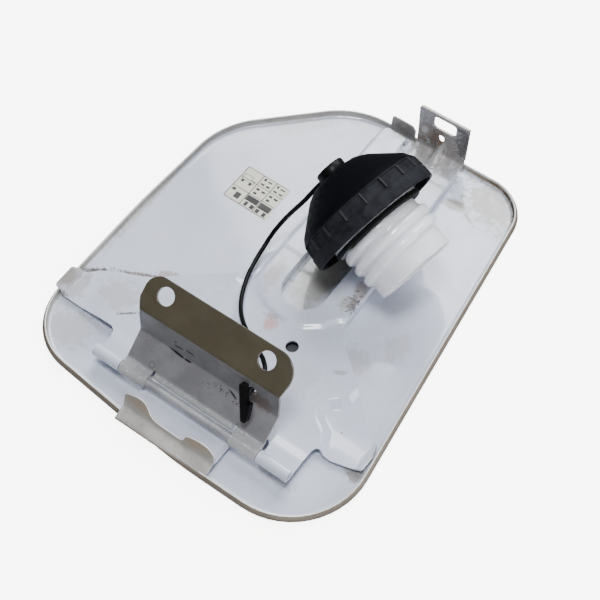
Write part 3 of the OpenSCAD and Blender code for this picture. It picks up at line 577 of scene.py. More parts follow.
def pressed_step(value, low, high, bend=0.22):
    """a straight slope from 0 to 1 with a short bend at each end, as a press leaves it"""
    t = np.clip((value - low) / (high - low), 0, 1)
    middle = (t - bend / 2) / (1 - bend)
    low_bend, high_bend = t * t / (2 * bend * (1 - bend)), 1 - (1 - t) ** 2 / (2 * bend * (1 - bend))
    return np.where(t < bend, low_bend, np.where(t > 1 - bend, high_bend, middle))


def beside(x, y, line):
    """signed distance from an open line, positive on its left, in millimetres"""
    best = np.full(len(x), 1e9)
    side = np.ones(len(x))
    for (ax, ay), (bx, by) in zip(line, line[1:]):
        dx, dy = bx - ax, by - ay
        t = np.clip(((x - ax) * dx + (y - ay) * dy) / (dx * dx + dy * dy), 0, 1)
        d = np.hypot(x - ax - t * dx, y - ay - t * dy)
        s = np.sign(dx * (y - ay) - dy * (x - ax))
        nearer = d < best - 1e-9
        best, side = np.where(nearer, d, best), np.where(nearer, s, side)
    return best * side


def round_hole(x, y, d, count=28):
    """points round a hole of diameter d"""
    return [(x + d / 2 * math.cos(2 * math.pi * k / count), y + d / 2 * math.sin(2 * math.pi * k / count))
            for k in range(count)]


print("blanks can be cut")

# %% [markdown]
# ## The inner plate
# The plate is the busiest pressing: a raised field with a long slot for hanging the cap, two arms
# that come down to the skin, two hinge curls, a tongue under the pin, and the striker that stands
# up at the far end with its latch slot. All of it is one blank here too. The striker's strip and
# the curls' strips lie flat beyond their fold lines until they are folded.

# %% Plate: the blank
HINGE_Y, HINGE_Z, PIN_R, CURL_IN = -102.0, 10.21, 2.55, 2.61
FIELD, SHEET_T = 7.6, 1.2
FOLD_Y, FOLD_R = 120.35, 2.0
STRIKER_TOP, LIP_R = 41.0, 1.0
v_top = FOLD_Y + FOLD_R * math.pi / 2 + STRIKER_TOP - FIELD - FOLD_R - LIP_R
curl_end = HINGE_Y - CURL_IN * math.radians(250)


def up_striker(z):
    """place on the flat blank of a height on the striker"""
    return FOLD_Y + FOLD_R * math.pi / 2 + z - FIELD - FOLD_R


def striker_hole(left, right, foot, head, radius):
    """outline of a hole in the striker, on the flat blank"""
    low, high = up_striker(foot), up_striker(head)
    return soft_corners([(left, low), (right, low), (right, high), (left, high)], radius)


PLATE_EDGE = [
    (39.4, 116.5), (40.3, 85.2), (42.8, 14.4), (43, -7), (43.7, -12), (46.9, -16.7), (58.6, -26.1), (69.9, -36.1),
    (97.6, -58.7), (100.4, -66), (100.0, -75.6), (91.1, -78.4), (82.7, -80.4), (78.5, -80.2), (75.4, -78.7),
    (73.2, -79.6), (72.2, -82.5), (72, -90), (71.9, HINGE_Y), (71.9, curl_end), (52.3, curl_end), (52.3, HINGE_Y),
    (52.3, -93), (50.5, -90.5), (36.5, -90.5), (34.8, -93), (34.2, -118.2), (-24.8, -118.2), (-23.2, -93),
    (-25, -90.5), (-38, -90.5), (-40.2, -93), (-40.2, HINGE_Y), (-40.2, curl_end), (-57.9, curl_end),
    (-57.9, HINGE_Y), (-57.9, -90.5), (-59.2, -86.6), (-62.5, -84.6), (-98, -84.4), (-106, -82.4), (-106, -67.6),
    (-99.5, -65.6), (-93.3, -58.8), (-80.3, -51.8), (-70.3, -48.3), (-44.3, -28.6), (-24.6, -15.2), (-20.2, -10.2),
    (-19.1, -3.5), (-19.1, 107.5), (-16.4, 117.5), (-12.5, 121), (-1.5, 121),
    (0.6, 119.2), (1.4, 115.0), (2.9, 113.4), (4.6, 114.0), (5.0, 119.0), (7.2, 119.8),
    (7.2, v_top + 2.1), (40.2, v_top + 2.1), (40.2, 120.2)]
SLOT_X, SLOT_Y, SLOT_W, SLOT_L = -1.3, -16.8, 27.5, 90.0
SLOT_R = SLOT_W / 2
SLOT = [(SLOT_X + SLOT_R + SLOT_R * math.cos(a), middle + SLOT_R * math.sin(a))
        for middle, first in ((SLOT_Y + SLOT_R, -180), (SLOT_Y + SLOT_L - SLOT_R, 0))
        for a in np.radians(np.arange(first, first + 181, 9))]
latch, small = striker_hole(16.8, 32.1, 28.8, 38.4, 2.4), striker_hole(21.2, 25.2, 19.4, 24.2, 1.6)
fine_x = sorted(set(np.round(np.concatenate([
    np.arange(-104, 101, 3.0), np.arange(-21, 99, 1.5), np.arange(20, 29, 0.75), np.arange(57, 78.1, 0.75)]), 2)))
fine_y = sorted(set(np.round(np.concatenate([
    np.arange(-117, 120, 3.0), np.arange(-84, -5, 1.5), np.arange(-66, -12, 0.75),
    np.arange(curl_end + 0.4, HINGE_Y + 0.1, 0.55),
    np.arange(109, FOLD_Y, 1.2), np.arange(FOLD_Y, FOLD_Y + 3.2, 0.4), np.arange(FOLD_Y + 4, FOLD_Y + 14, 1.2),
    np.arange(v_top, v_top + 2, 0.4)]), 2)))
loops = [soft_corners(PLATE_EDGE, 1.8), SLOT, round_hole(27.6, -37.3, 7.5), latch, small]
plate = cut_blank("inner_plate_sheet", loops, fine_x, fine_y)
print("plate blank:", len(plate.data.polygons), "faces")

# %% Plate: pressing the steps
p = points_of(plate)
x, y = p[:, 0].copy(), p[:, 1].copy()
z = np.full(len(p), FIELD - 0.1)
# the hinge-side field lies a little lower than the band round the slot
RING_STEP = [(-22, 6), (-16.5, -8), (-9, -19.8), (2, -25), (14, -26.4), (26, -23.6), (34, -17.4), (38.4, -10.5),
             (46, -4)]
to_left = smooth_step(x, -18, 6)
off_ring = beside(x, y, RING_STEP)
ring = pressed_step(off_ring, -1.6, 1.6) * to_left + smooth_step(off_ring, -6, 5) * (1 - to_left)
z -= 1.1 * (1 - ring)
z += 0.5 * smooth_step(-y, 70, 88)
# the left foot of the latch arm lies on the skin
foot = smooth_step(x, -18.2, -14.6)
on_latch_arm = smooth_step(y, -24, -4)
z = np.where(y > -20, z * (1 - on_latch_arm * (1 - foot)) + 2.1 * on_latch_arm * (1 - foot), z)
# the left arm comes down to the skin
LEFT_STEP = [(-74, -98), (-69, -82), (-65.9, -78.7), (-53.8, -68.4), (-44, -57), (-34, -42), (-26, -27),
             (-20.5, -14), (-21, 0), (-21, 130)]
off_field = beside(x, y, LEFT_STEP)
left = pressed_step(off_field, -1.3, 1.3)
arm = np.maximum(2.1 + 1.9 * smooth_step(-y, 66, 84), 6.9 - 0.2 * off_field)
z = z * (1 - left) + arm * left
# the right arm comes down in an S-shaped step
S_STEP = [(77.5, -92), (76.4, -76), (72.1, -67.6), (64.8, -63), (62.2, -58.5), (64.3, -53.8), (69.0, -49.9),
          (72.1, -45), (72.5, -38.5), (74.8, -30)]
right = pressed_step(-beside(x, y, S_STEP), -3.0, 3.0)
right = np.where((x > 55) & (y < -20), right, 0)
arm = 2.7 + 1.3 * smooth_step(-y, 58, 80)
z = z * (1 - right) + arm * right
# its corner turns up against the rim
z += 1.6 * smooth_step(x, 95.5, 99.5) * (x > 90)
# the tongue passes under the pin
z -= 1.8 * smooth_step(-y, 84, 92) * smooth_step(x, -27, -21) * (1 - smooth_step(x, 32, 38))
# a corner by the striker is torn up a little
z += 1.6 * smooth_step(x, 0.8, 4) * smooth_step(y, 104, 118) * (1 - smooth_step(x, 5, 9))
# the hem over the left rim
hem = smooth_step(-x, 99.0, 101.2)
z = z * (1 - hem) + 6.6 * hem
print("steps pressed; heights from", round(z.min(), 2), "to", round(z.max(), 2), "mm")

# %% Plate: folding the curls and the striker
top = np.stack([x, y, z], -1)
curls = (y < HINGE_Y) & ((x < -38) | (x > 51))
a = (HINGE_Y - y) / CURL_IN
top[curls, 1] = (HINGE_Y - CURL_IN * np.sin(a))[curls]
top[curls, 2] = (HINGE_Z - CURL_IN * np.cos(a))[curls]
near_curl = (y >= HINGE_Y) & ((x < -38) & (x > -60) | (x > 51) & (x < 74)) & (y < -84)
rise = smooth_step(-y, 84, 92)
top[near_curl, 2] = (z * (1 - rise) + FIELD * rise)[near_curl]
over = y > FOLD_Y
b = np.minimum((y - FOLD_Y) / FOLD_R, math.pi / 2)
beyond = np.maximum(y - FOLD_Y - FOLD_R * math.pi / 2, 0)
up = over & (x > 6)
top[up, 1] = (FOLD_Y + FOLD_R * np.sin(b))[up]
top[up, 2] = (z + FOLD_R * (1 - np.cos(b)) + beyond)[up]
lip = up & (y > v_top)
c = np.minimum((y - v_top) / LIP_R, math.pi / 2)
past = np.maximum(y - v_top - LIP_R * math.pi / 2, 0)
top[lip, 1] = (FOLD_Y + FOLD_R + LIP_R * (1 - np.cos(c)) + past)[lip]
top[lip, 2] = (STRIKER_TOP - LIP_R + LIP_R * np.sin(c))[lip]
# the stiffening dart across the striker's fold
dart = np.clip(1.35 - np.abs(top[:, 0] - 23.6) / 3.4, 0, 1)
DART_LEG = 12.5
low, high = FOLD_Y + FOLD_R - DART_LEG, FIELD + DART_LEG
along = np.clip((top[:, 1] - low + top[:, 2] - FIELD) / (2 * DART_LEG), 0, 1)
chord = np.stack([top[:, 0], low + DART_LEG * along, FIELD + DART_LEG * along], -1)
inside = (top[:, 1] > low) & (top[:, 2] < high) & (y > 100) & (x > 6)
share = (dart * inside * 0.8)[:, None]
top = top * (1 - share) + chord * share
set_points(plate, top)
print("striker stands", round(float(top[:, 2].max()), 1), "mm high")

# %% [markdown]
# The sheet's edge is turned down along the right of the field, along the slot and round the hem.
# Those edges of the sheet are picked by their place and extruded downwards before Solidify.

# %% Plate: turned-down edges
def turn_down(piece, chosen, steps):
    """extrudes the open edges for which chosen(centre in mm) holds, by each of the steps in turn"""
    edit_mode(piece)
    bpy.ops.mesh.select_mode(type="EDGE")
    bpy.ops.mesh.select_all(action="DESELECT")
    mesh = bmesh.from_edit_mesh(piece.data)
    count = 0
    for e in mesh.edges:
        if len(e.link_faces) == 1 and chosen((e.verts[0].co + e.verts[1].co) / 2 / MM):
            e.select_set(True)
            count += 1
    bmesh.update_edit_mesh(piece.data)
    for step in steps:
        bpy.ops.mesh.extrude_edges_move(TRANSFORM_OT_translate={"value": Vector(step) * MM})
    edit_mode(piece, False)
    return count


def slot_edge(c):
    """on the edge of the long slot"""
    return SLOT_X - 0.4 < c.x < SLOT_X + SLOT_W + 0.4 and SLOT_Y - 0.4 < c.y < SLOT_Y + SLOT_L + 0.4 and c.z > 6


def right_edge(c):
    """on the right edge of the field, or on the slanting stretch below it"""
    near = min(abs(c.x - (40.3 + (85.2 - c.y) * 0.0353)), 9) < 1.2 and -8 < c.y < 117
    lower = -36.5 < c.y < -7.5 and abs(c.y + 36.1 - (69.9 - c.x) * 0.86) < 5 and c.x > 42
    return c.z > 6 and (near or lower)


edges = turn_down(plate, slot_edge, [(0, 0, -0.9), (0, 0, -5.3)])
edges += turn_down(plate, right_edge, [(0.25, 0, -0.5), (0.1, 0, -5.3)])
edges += turn_down(plate, lambda c: c.x < -105.9, [(-0.05, 0, -2.4)])
edges += turn_down(plate, lambda c: c.x > 40.1 and c.y > 122 and 12 < c.z < 39.5, [(0, 2.2, 0)])
apply_modifier(plate, "SOLIDIFY", thickness=SHEET_T * MM, offset=-1, use_even_offset=False)
print(edges, "edges turned; plate has", len(plate.data.polygons), "faces")

# %% Plate: finish
plate.data.materials.append(plate_white)
plate.data.materials.append(worn_edge_and_highlight_paint)
for face in plate.data.polygons:
    # the top of the striker's lip takes the pale edge paint: worn paint with a painted highlight
    face.material_index = int(face.center.z > (STRIKER_TOP - 0.6) * MM)
shade(plate, 38)
hand_over(plate, "door", "plate_primer", "inner_plate")

# %% [markdown]
# ## The cap
# The cap is turned round one axis, so each part of it is a profile that Spin carries round. It is
# modelled upright at the origin and then laid over as the real one lies: tilted 18.6 degrees,
# turned 11.6, hanging over the slot.

# %% Cap: spinning a profile
CAP_TILT, CAP_TURN = math.radians(18.6), math.radians(-11.6)
cap_place = (Matrix.Translation(cap_at) @ Matrix.Rotation(CAP_TURN, 4, "Z")
             @ Matrix.Rotation(math.pi / 2 + CAP_TILT, 4, "Y"))


def spun(name, profile, steps):
    """a profile of (radius, height) points in millimetres, spun round the upright axis"""
    bpy.ops.object.select_all(action="DESELECT")
    bpy.ops.mesh.primitive_circle_add(vertices=len(profile), radius=1, fill_type="NOTHING")
    piece = bpy.context.object
    piece.name = name
    for vertex, (radius, height) in zip(piece.data.vertices, profile):
        vertex.co = Vector((radius, 0, height)) * MM
    edit_mode(piece)
    bpy.ops.mesh.select_all(action="SELECT")
    bpy.ops.mesh.spin(steps=steps, angle=2 * math.pi, center=(0, 0, 0), axis=(0, 0, 1))
    bpy.ops.mesh.select_all(action="SELECT")
    bpy.ops.mesh.remove_doubles(threshold=1e-6)
    bpy.ops.mesh.normals_make_consistent(inside=False)
    edit_mode(piece, False)
    return piece


def lay_over(piece):
    """moves a finished piece of the cap from the upright axis to where the cap hangs"""
    piece.data.transform(cap_place)
    piece.data.update()


print("cap axis points to", [round(v, 3) for v in cap_place.to_3x3() @ Vector((0, 0, 1))])

# %% [markdown]
# The grip is black moulded plastic. Its dome rises to a flat top, and round the wall run eighteen
# low ribs with sunk panels between them, where fingers hold. The spin has ten columns to a rib,
# nine of which are inset and pushed in together. The tenth is inset and raised, as the rib.

# %% Cap: grip
RIBS, COLUMNS = 18, 10
BAND_FOOT, BAND_TOP, WALL_R, WALL_FLARE = -14.6, -7.6, 39.25, 0.093
profile = [(2.95, -33.1), (2.95, -35.5), (14.8, -35.5), (15.9, -35.25), (16.9, -34.7), (21.4, -32.2), (29.0, -25.8),
           (36.2, -19.6), (36.9, -18.7), (38.4, -16.2), (39.0, -15.3), (39.25, -14.6), (39.9, -7.6), (40.2, -7.1),
           (40.42, -6.6), (40.5, -1.4), (40.3, -0.4), (39.8, 0), (38.7, 0), (38.3, -0.4), (38.3, -5), (37.6, -11.1),
           (36.4, -14.7), (33.7, -18.1), (20.5, -29.7), (14, -33.1)]
grip = spun("grip_shell", profile, RIBS * COLUMNS)


def inset_band(ribs, thickness, depth):
    """insets the wall's faces, those of the ribs or those of the panels between them, in millimetres"""
    bpy.ops.mesh.select_all(action="DESELECT")
    mesh = bmesh.from_edit_mesh(grip.data)
    for f in mesh.faces:
        c = f.calc_center_median() / MM
        column = math.floor((math.degrees(math.atan2(c.y, c.x)) % 360) / (360 / RIBS / COLUMNS) + 1e-6)
        on_wall = math.hypot(c.x, c.y) > WALL_R - 0.05 and BAND_FOOT < c.z < BAND_TOP
        f.select_set(on_wall and (column % COLUMNS == 0) == ribs)
    bmesh.update_edit_mesh(grip.data)
    bpy.ops.mesh.inset(thickness=thickness * MM, depth=depth * MM, use_boundary=True, use_even_offset=True)


edit_mode(grip)
bpy.ops.mesh.select_mode(type="FACE")
inset_band(False, 0.28, -0.75)
inset_band(True, 0.3, 0.45)
edit_mode(grip, False)
rib_tops = []
for face in grip.data.polygons:
    c = face.center / MM
    proud = math.hypot(c.x, c.y) - WALL_R - WALL_FLARE * (c.z - BAND_FOOT)
    if proud > 0.3 and BAND_FOOT + 0.1 < c.z < BAND_TOP - 0.1:
        rib_tops.append(face.index)
lay_over(grip)
print("grip:", len(grip.data.polygons), "faces,", RIBS, "ribs")

# %% Black moulded plastic, dusty in the panels
def black_plastic(name, card="#0a0a0e", dust_card="#121215", dust_and_sheen_card="#26272b", dusty=()):
    """acetal moulding, near black and half matt; its wall is painted lighter grey for the dust and handling where it
    is held, and for a painted sheen
    """
    finish, tree, shader, place = new_finish(name, IOR=1.45, Specular_IOR_Level=0.035)
    base = laid_on(tree, card, dust_card, patchy(tree, place, 5, 0.54, 0.78, 0, 0.5, 6, 0.75))
    from_cap = add_node(tree, "VectorMath", {0: place, 1: tuple(cap_at)}, operation="SUBTRACT")
    along = add_node(tree, "VectorMath", {0: from_cap, 1: tuple(cap_place.to_3x3() @ Vector((0, 0, 1)))}, out="Value",
                     operation="DOT_PRODUCT")
    # dust and painted sheen: the wall below the dome is painted a lighter grey
    wall = add_node(tree, "MapRange", {0: along, 1: -0.0156, 2: -0.0150})
    base = laid_on(tree, base, dust_and_sheen_card, wall, patchy(tree, place, 9, 0.3, 0.6, 0.35, 1.0, 5, 0.7))
    base = lay_spots(tree, place, base, dusty, 0.4, 1.6)
    finish_off(tree, shader, place, base, patchy(tree, place, 3, 0.35, 0.7, 0.45, 0.6), 0.6, 0.08, 0.1)
    return finish


GRIP_DUST = [((38, -2, 54), (6, 6, 7), 0, "#3d3b38", 0.75, 0.6), ((22, 0, 30), (5, 5, 5), 0, "#3d3a35", 0.6, 0.7)]
acetal = black_plastic("grip_acetal_moulding", dusty=GRIP_DUST)
# painted highlight: the rib tops get a lighter grey copy of the moulding, for the thin lit line along each rib
painted_highlight = black_plastic("grip_acetal_painted_rib_highlight", "#242527", "#323335", "#3b3c3e")
grip.data.materials.append(acetal)
grip.data.materials.append(painted_highlight)
for number in rib_tops:
    grip.data.polygons[number].material_index = 1
print(len(rib_tops), "faces on the tops of the ribs")
shade(grip, 28)
hand_over(grip, "grip", "grip_plastic", "cap_grip")

# %% [markdown]
# The plug is milky nylon that glows a little, because light goes some way into it. Its thread has
# round crests and no sharp start. The outer line of the profile is finely divided, and after the
# spin each point of it is pushed out by how near it is to the thread's helix.

# %% Cap: plug with its soft thread
PLUG_R, PLUG_L, PLUG_WALL = 24.1, 34.0, 2.6
THREAD_H, THREAD_PITCH, THREAD_FROM, THREAD_START, THREAD_TURNS = 3.0, 7.6, 4.6, 200.0, 2.36
THREAD_HALF = 3.75
outer = [(PLUG_R, h) for h in np.arange(2.6, PLUG_L - 1.2, 0.5)]
profile = ([(21.5, 14), (21.5, -14), (27.8, -14), (27.8, -8.6), (33.8, -8.6), (33.8, -6), (28.7, -6), (28.7, 2.3),
            (28.2, 2.6)] + outer +
           [(PLUG_R, PLUG_L - 1.2), (PLUG_R - 0.35, PLUG_L - 0.35), (PLUG_R - 1.2, PLUG_L),
            (PLUG_R - PLUG_WALL + 0.5, PLUG_L), (PLUG_R - PLUG_WALL, PLUG_L - 0.5), (21.5, 16.4), (5, 16.4), (5, 14),
            (9.8, 14), (9.8, -1), (11.6, -1), (11.6, 14)])
plug = spun("plug_body", profile, 144)
q = points_of(plug)
radius, angle = np.hypot(q[:, 0], q[:, 1]), np.degrees(np.arctan2(q[:, 1], q[:, 0])) % 360
push = np.zeros(len(q))
for n in range(-1, 4):
    run = angle - THREAD_START + 360 * n
    crest = THREAD_FROM + THREAD_PITCH * run / 360
    on = smooth_step(run, -8, 46) * (1 - smooth_step(run, 360 * THREAD_TURNS - 50, 360 * THREAD_TURNS + 8))
    off = np.abs(q[:, 2] - crest)
    bulge = np.tanh(2.1 * (0.5 + 0.5 * np.cos(math.pi * off / THREAD_HALF)) ** 0.8)
    push = np.maximum(push, on * np.where(off < THREAD_HALF, bulge, 0))
is_outer = (radius > 23.9) & (radius < 24.3) & (q[:, 2] > 3) & (q[:, 2] < PLUG_L - 1.3)
grow = 1 + THREAD_H * push * is_outer / np.maximum(radius, 1)
q[:, 0] *= grow
q[:, 1] *= grow
set_points(plug, q)

# %% [markdown]
# Ratchet teeth stand round the plug's inner end. One tooth is a small block with a slanted back,
# and Spin copies it round.

# %% Cap: ratchet teeth
bpy.ops.object.select_all(action="DESELECT")
bpy.ops.mesh.primitive_cube_add(size=1)
tooth = bpy.context.object
for vertex in tooth.data.vertices:
    lead = vertex.co.y > 0
    vertex.co = Vector(((27.5 if vertex.co.x < 0 else (28.3 if lead else 28.9)), 1.9 if lead else -1.6,
                        -13.9 if vertex.co.z < 0 else -8.7)) * MM
edit_mode(tooth)
bpy.ops.mesh.select_all(action="SELECT")
bpy.ops.mesh.spin(steps=24, angle=2 * math.pi, center=(0, 0, 0), axis=(0, 0, 1), dupli=True)
edit_mode(tooth, False)
take_from(plug, [tooth])
lay_over(plug)
print("plug:", len(plug.data.polygons), "faces; thread crest radius", round(PLUG_R + THREAD_H, 1), "mm")

# %% Milky nylon
def milky_plastic():
    """unfilled polyamide: white, glossy and slightly translucent"""
    finish, tree, shader, place = new_finish("plug_polyamide_moulding", IOR=1.53, Subsurface_Weight=0.8,
                                             Subsurface_Scale=0.006, Coat_Weight=0.6, Coat_Roughness=0.05)
    shader.inputs["Subsurface Radius"].default_value = (1.0, 0.95, 0.9)
    base = laid_on(tree, "#eeeef2", "#e3e3ea", patchy(tree, place, 16, 0.35, 0.7))
    base = laid_on(tree, base, "#c9c4bb", patchy(tree, place, 7, 0.56, 0.76, 0, 0.3, 5, 0.7))
    base = laid_on(tree, base, "#8a8378", patchy(tree, place, 0.9, 0.76, 0.8, 0, 0.5, 2))
    finish_off(tree, shader, place, base, patchy(tree, place, 4, 0.35, 0.7, 0.14, 0.28), 9, 0.1, 0.4)
    return finish


nylon = milky_plastic()
plug.data.materials.append(nylon)
shade(plug, 35)
hand_over(plug, "plug", "plug_plastic", "cap_plug")

# %% [markdown]
# ## The label
# A printed paper label with tyre pressures sits on the skin. Only its kind is shown: a pale sheet
# ruled into fields, with small dark blocks where print would be and no writing.

# %% Label: sheet and print
def flat_field(x0, x1, y0, y1, lift=0.02):
    """one printed field, in millimetres from the label's middle"""
    bpy.ops.object.select_all(action="DESELECT")
    bpy.ops.mesh.primitive_plane_add(size=1)
    field = bpy.context.object
    for vertex in field.data.vertices:
        vertex.co = Vector((x0 if vertex.co.x < 0 else x1, y0 if vertex.co.y < 0 else y1, lift)) * MM
    return field


paper = new_ring("label", soft_corners([(-15.2, -13), (15.2, -13), (15.2, 13), (-15.2, 13)], 1.5), "NGON")
apply_modifier(paper, "SOLIDIFY", thickness=0.15 * MM, offset=-1)
fields = []
for x0 in (-15, -3.6, 5.7):
    fields.append(flat_field(x0 - 0.24, x0 + 0.24, -12.6, 12.6))
for y0 in (-12.6, -3.2, 4.6, 12.4):
    fields.append(flat_field(-15, 15, y0 - 0.2, y0 + 0.2))
BLOCKS = [(-2.2, -0.6, 9.4, 11.4), (0.6, 3.6, 9.6, 10.6), (7.0, 8.4, 9.4, 11.4), (9.6, 12.8, 9.6, 10.6),
          (-2.2, 0.4, 6.0, 7.2), (1.6, 4.0, 6.0, 7.4), (7.0, 9.4, 6.0, 7.2), (10.8, 13.2, 6.0, 7.2),
          (-2.0, 0.2, 1.4, 3.0), (1.8, 4.2, 1.4, 2.8), (7.2, 9.4, 1.4, 3.0), (10.6, 13.2, 1.4, 2.8),
          (-2.0, 0.2, -1.8, -0.4), (7.2, 9.4, -1.8, -0.2),
          (-3.2, 5.2, -8.0, -4.0), (-1.6, 0.4, -11.8, -8.6), (2.4, 5.0, -11.8, -8.8), (6.2, 14.2, -8.6, -4.2),
          (6.6, 9.0, -12.0, -9.2), (11.4, 13.6, -12.0, -9.2), (-13.8, -11.4, -6.4, -4.6), (-10.0, -6.4, -10.6, -6.2)]
for block in BLOCKS:
    fields.append(flat_field(*block))
for wheel in (-12.2, -7.0):
    fields.append(flat_field(wheel - 0.9, wheel + 0.9, 1.2, 3.0))
for x0, x1, y0, y1 in ((-13.8, -5.2, 3.0, 3.35), (-13.8, -13.45, 3.0, 7.4), (-13.8, -7.6, 7.2, 7.55),
                       (-5.5, -5.15, 3.0, 5.2), (-7.9, -7.55, 5.0, 7.4), (-7.9, -5.2, 5.0, 5.35)):
    fields.append(flat_field(x0, x1, y0, y1))
take_from(fields[0], fields[1:])
print_layer = fields[0]

# %% Label: its two finishes
def printed(name, card, worn_card, worn):
    """coated paper or ink, worn through in small places"""
    finish, tree, shader, place = new_finish(name)
    base = laid_on(tree, card, worn_card, patchy(tree, place, 1.6, 0.5, 0.7, 0, worn, 5, 0.7))
    finish_off(tree, shader, place, base, patchy(tree, place, 6, 0.4, 0.7, 0.4, 0.6), 0.8, 0.03)
    return finish


for finish in (printed("label_coated_paper", "#d6d3c6", "#bdb7a8", 0.5),
               printed("label_ink", "#1d1d1c", "#5a5852", 0.15)):
    paper.data.materials.append(finish)
    print_layer.data.materials.append(finish)
for face in print_layer.data.polygons:
    face.material_index = 1
take_from(paper, [print_layer])
paper.name = "pressure_label_sheet"
paper.data.transform(Matrix.Translation(Vector((-52.4, 38.6, SKIN_T + 0.15)) * MM)
                     @ Matrix.Rotation(math.radians(-1), 4, "Z") @ Matrix.Diagonal((1.036, 1.015, 1, 1)))
hand_over(paper, "door", "label_print", "pressure_label")

# %% [markdown]
# ## Finishes for the measured parts
# The hinge pin, the tether's arrow, the sealing ring and the parts of the relief valve have the
# right shape in the measured model, so they stay and only get their finish. The bracket's finish
# is made here too: grey facets and an olive flange as painted reflections, scuffed where tools have touched.

# %% Bracket, pin and small parts
def grey_steel(name, card, worn_card, rough, metal=0.35, scratches=0.5):
    """plated or bare steel: grey, streaked along its length with lighter rub marks"""
    finish, tree, shader, place = new_finish(name, Metallic=metal)
    base = laid_on(tree, card, worn_card, patchy(tree, place, 8, 0.4, 0.7, detail=5))
    long = add_node(tree, "Mapping", {"Vector": place, "Rotation": (0.4, 0.3, 0.5), "Scale": (1, 9, 9)})
    base = laid_on(tree, base, "#c8c8c6", patchy(tree, long, 9, 0.62, 0.68, 0, scratches, 3, 0.5))
    finish_off(tree, shader, place, base, patchy(tree, place, 5, 0.4, 0.7, rough, rough + 0.12), 0.9, 0.1)
    return finish


def facet_turn(slope, along):
    """rotation of a mark that lies in a facet sloping about X, turned by along in the facet"""
    lean, swing = Matrix.Rotation(math.radians(slope), 3, "X"), Matrix.Rotation(math.radians(along), 3, "Z")
    return tuple((lean @ swing).to_euler())


WORN_BELOW, FLANGE_FOOT = 0.0155, 0.0432
SCRATCHES = [((-15.2, -83, 34.2), (1.0, 0.7, 1), 84, 20), ((-13.1, -83.1, 31.1), (3.6, 0.85, 2), 84, 8),
             ((-5.6, -83, 32.6), (3.6, 0.85, 2), 84, -4), ((-14.5, -83.9, 24.9), (6.6, 0.9, 2), 60, -8),
             ((-7, -84.3, 24.5), (2.8, 0.7, 2), 60, 0), ((24.5, -86, 23), (3.8, 0.6, 2), 39, -24)]


def olive_bracket():
    """the bracket's dip primer with black scuffs; its grey facets and olive brown flange are painted reflections"""
    finish, tree, shader, place = new_finish("bracket_dip_primer", Metallic=0.1)
    # painted reflection: the grey of the facets stands for the white skin they reflect
    base = laid_on(tree, "#77767a", "#69686b", patchy(tree, place, 14, 0.35, 0.7, detail=5))
    height = add_node(tree, "SeparateXYZ", {"Vector": place}, out="Z")
    worn = add_node(tree, "MapRange", {0: height, 1: WORN_BELOW, 2: WORN_BELOW - 0.003},
                    interpolation_type="SMOOTHSTEP")
    base = laid_on(tree, base, "#a9a9ab", worn)
    # painted glints: bright flecks on the worn knuckles
    base = laid_on(tree, base, "#e2e2e4", worn, patchy(tree, place, 2.4, 0.56, 0.64, 0, 0.8, 5, 0.7))
    base = laid_on(tree, base, "#55504c", patchy(tree, place, 5, 0.6, 0.7, 0, 0.5, 6, 0.7))
    base = laid_on(tree, base, "#5b4a3c", spot(tree, place, (40, -83, 30), (9, 8, 9), 0, 0.45, strength=0.6))
    base = laid_on(tree, base, "#494746", spot(tree, place, (-24.3, -94.5, 16.3), (2.2, 2.2, 2.2), 0, 0.1, 0.25),
                   spot(tree, place, (-24.3, -94.5, 16.3), (1.4, 1.4, 1.4), 0, 0.1, -0.25))
    for at, size, slope, along in SCRATCHES:
        base = laid_on(tree, base, "#0d0c0c", spot(tree, place, at, size, facet_turn(slope, along), 0.14, 0.3, 1.0))
    for at, size in (((19, -86, 23), (8, 2.6, 3)), ((27, -87.5, 21), (8, 2, 3)), ((8, -88.5, 20.5), (6, 1.6, 2))):
        base = laid_on(tree, base, "#171615", spot(tree, place, at, size, 0, 0.5, 0.3, 1.6),
                       patchy(tree, place, 1.1, 0.55, 0.6, detail=4, roughness=0.7))
    # painted reflection: the olive brown of the flange stands for the dark surroundings it reflects
    flange = add_node(tree, "MapRange", {0: height, 1: FLANGE_FOOT, 2: FLANGE_FOOT + MM})
    olive = laid_on(tree, "#453f30", "#3d3729", patchy(tree, place, 22, 0.35, 0.7, 0, 0.8))
    base = add_node(tree, "MixRGB", {"Fac": flange, "Color1": base, "Color2": olive})
    finish_off(tree, shader, place, base, patchy(tree, place, 9, 0.4, 0.7, 0.42, 0.56), 1.0, 0.07)
    return finish


def plain_moulding(name, card, light_card, rough, bump_mm=0.8, shine=0.5):
    """injection-moulded plastic or rubber: even colour with a slight cloud, fine grain from the tool"""
    finish, tree, shader, place = new_finish(name, Specular_IOR_Level=shine)
    base = laid_on(tree, card, light_card, patchy(tree, place, 4, 0.45, 0.75, detail=5, roughness=0.7))
    finish_off(tree, shader, place, base, patchy(tree, place, 3, 0.35, 0.7, rough, rough + 0.12), bump_mm, 0.1, 0.1)
    return finish


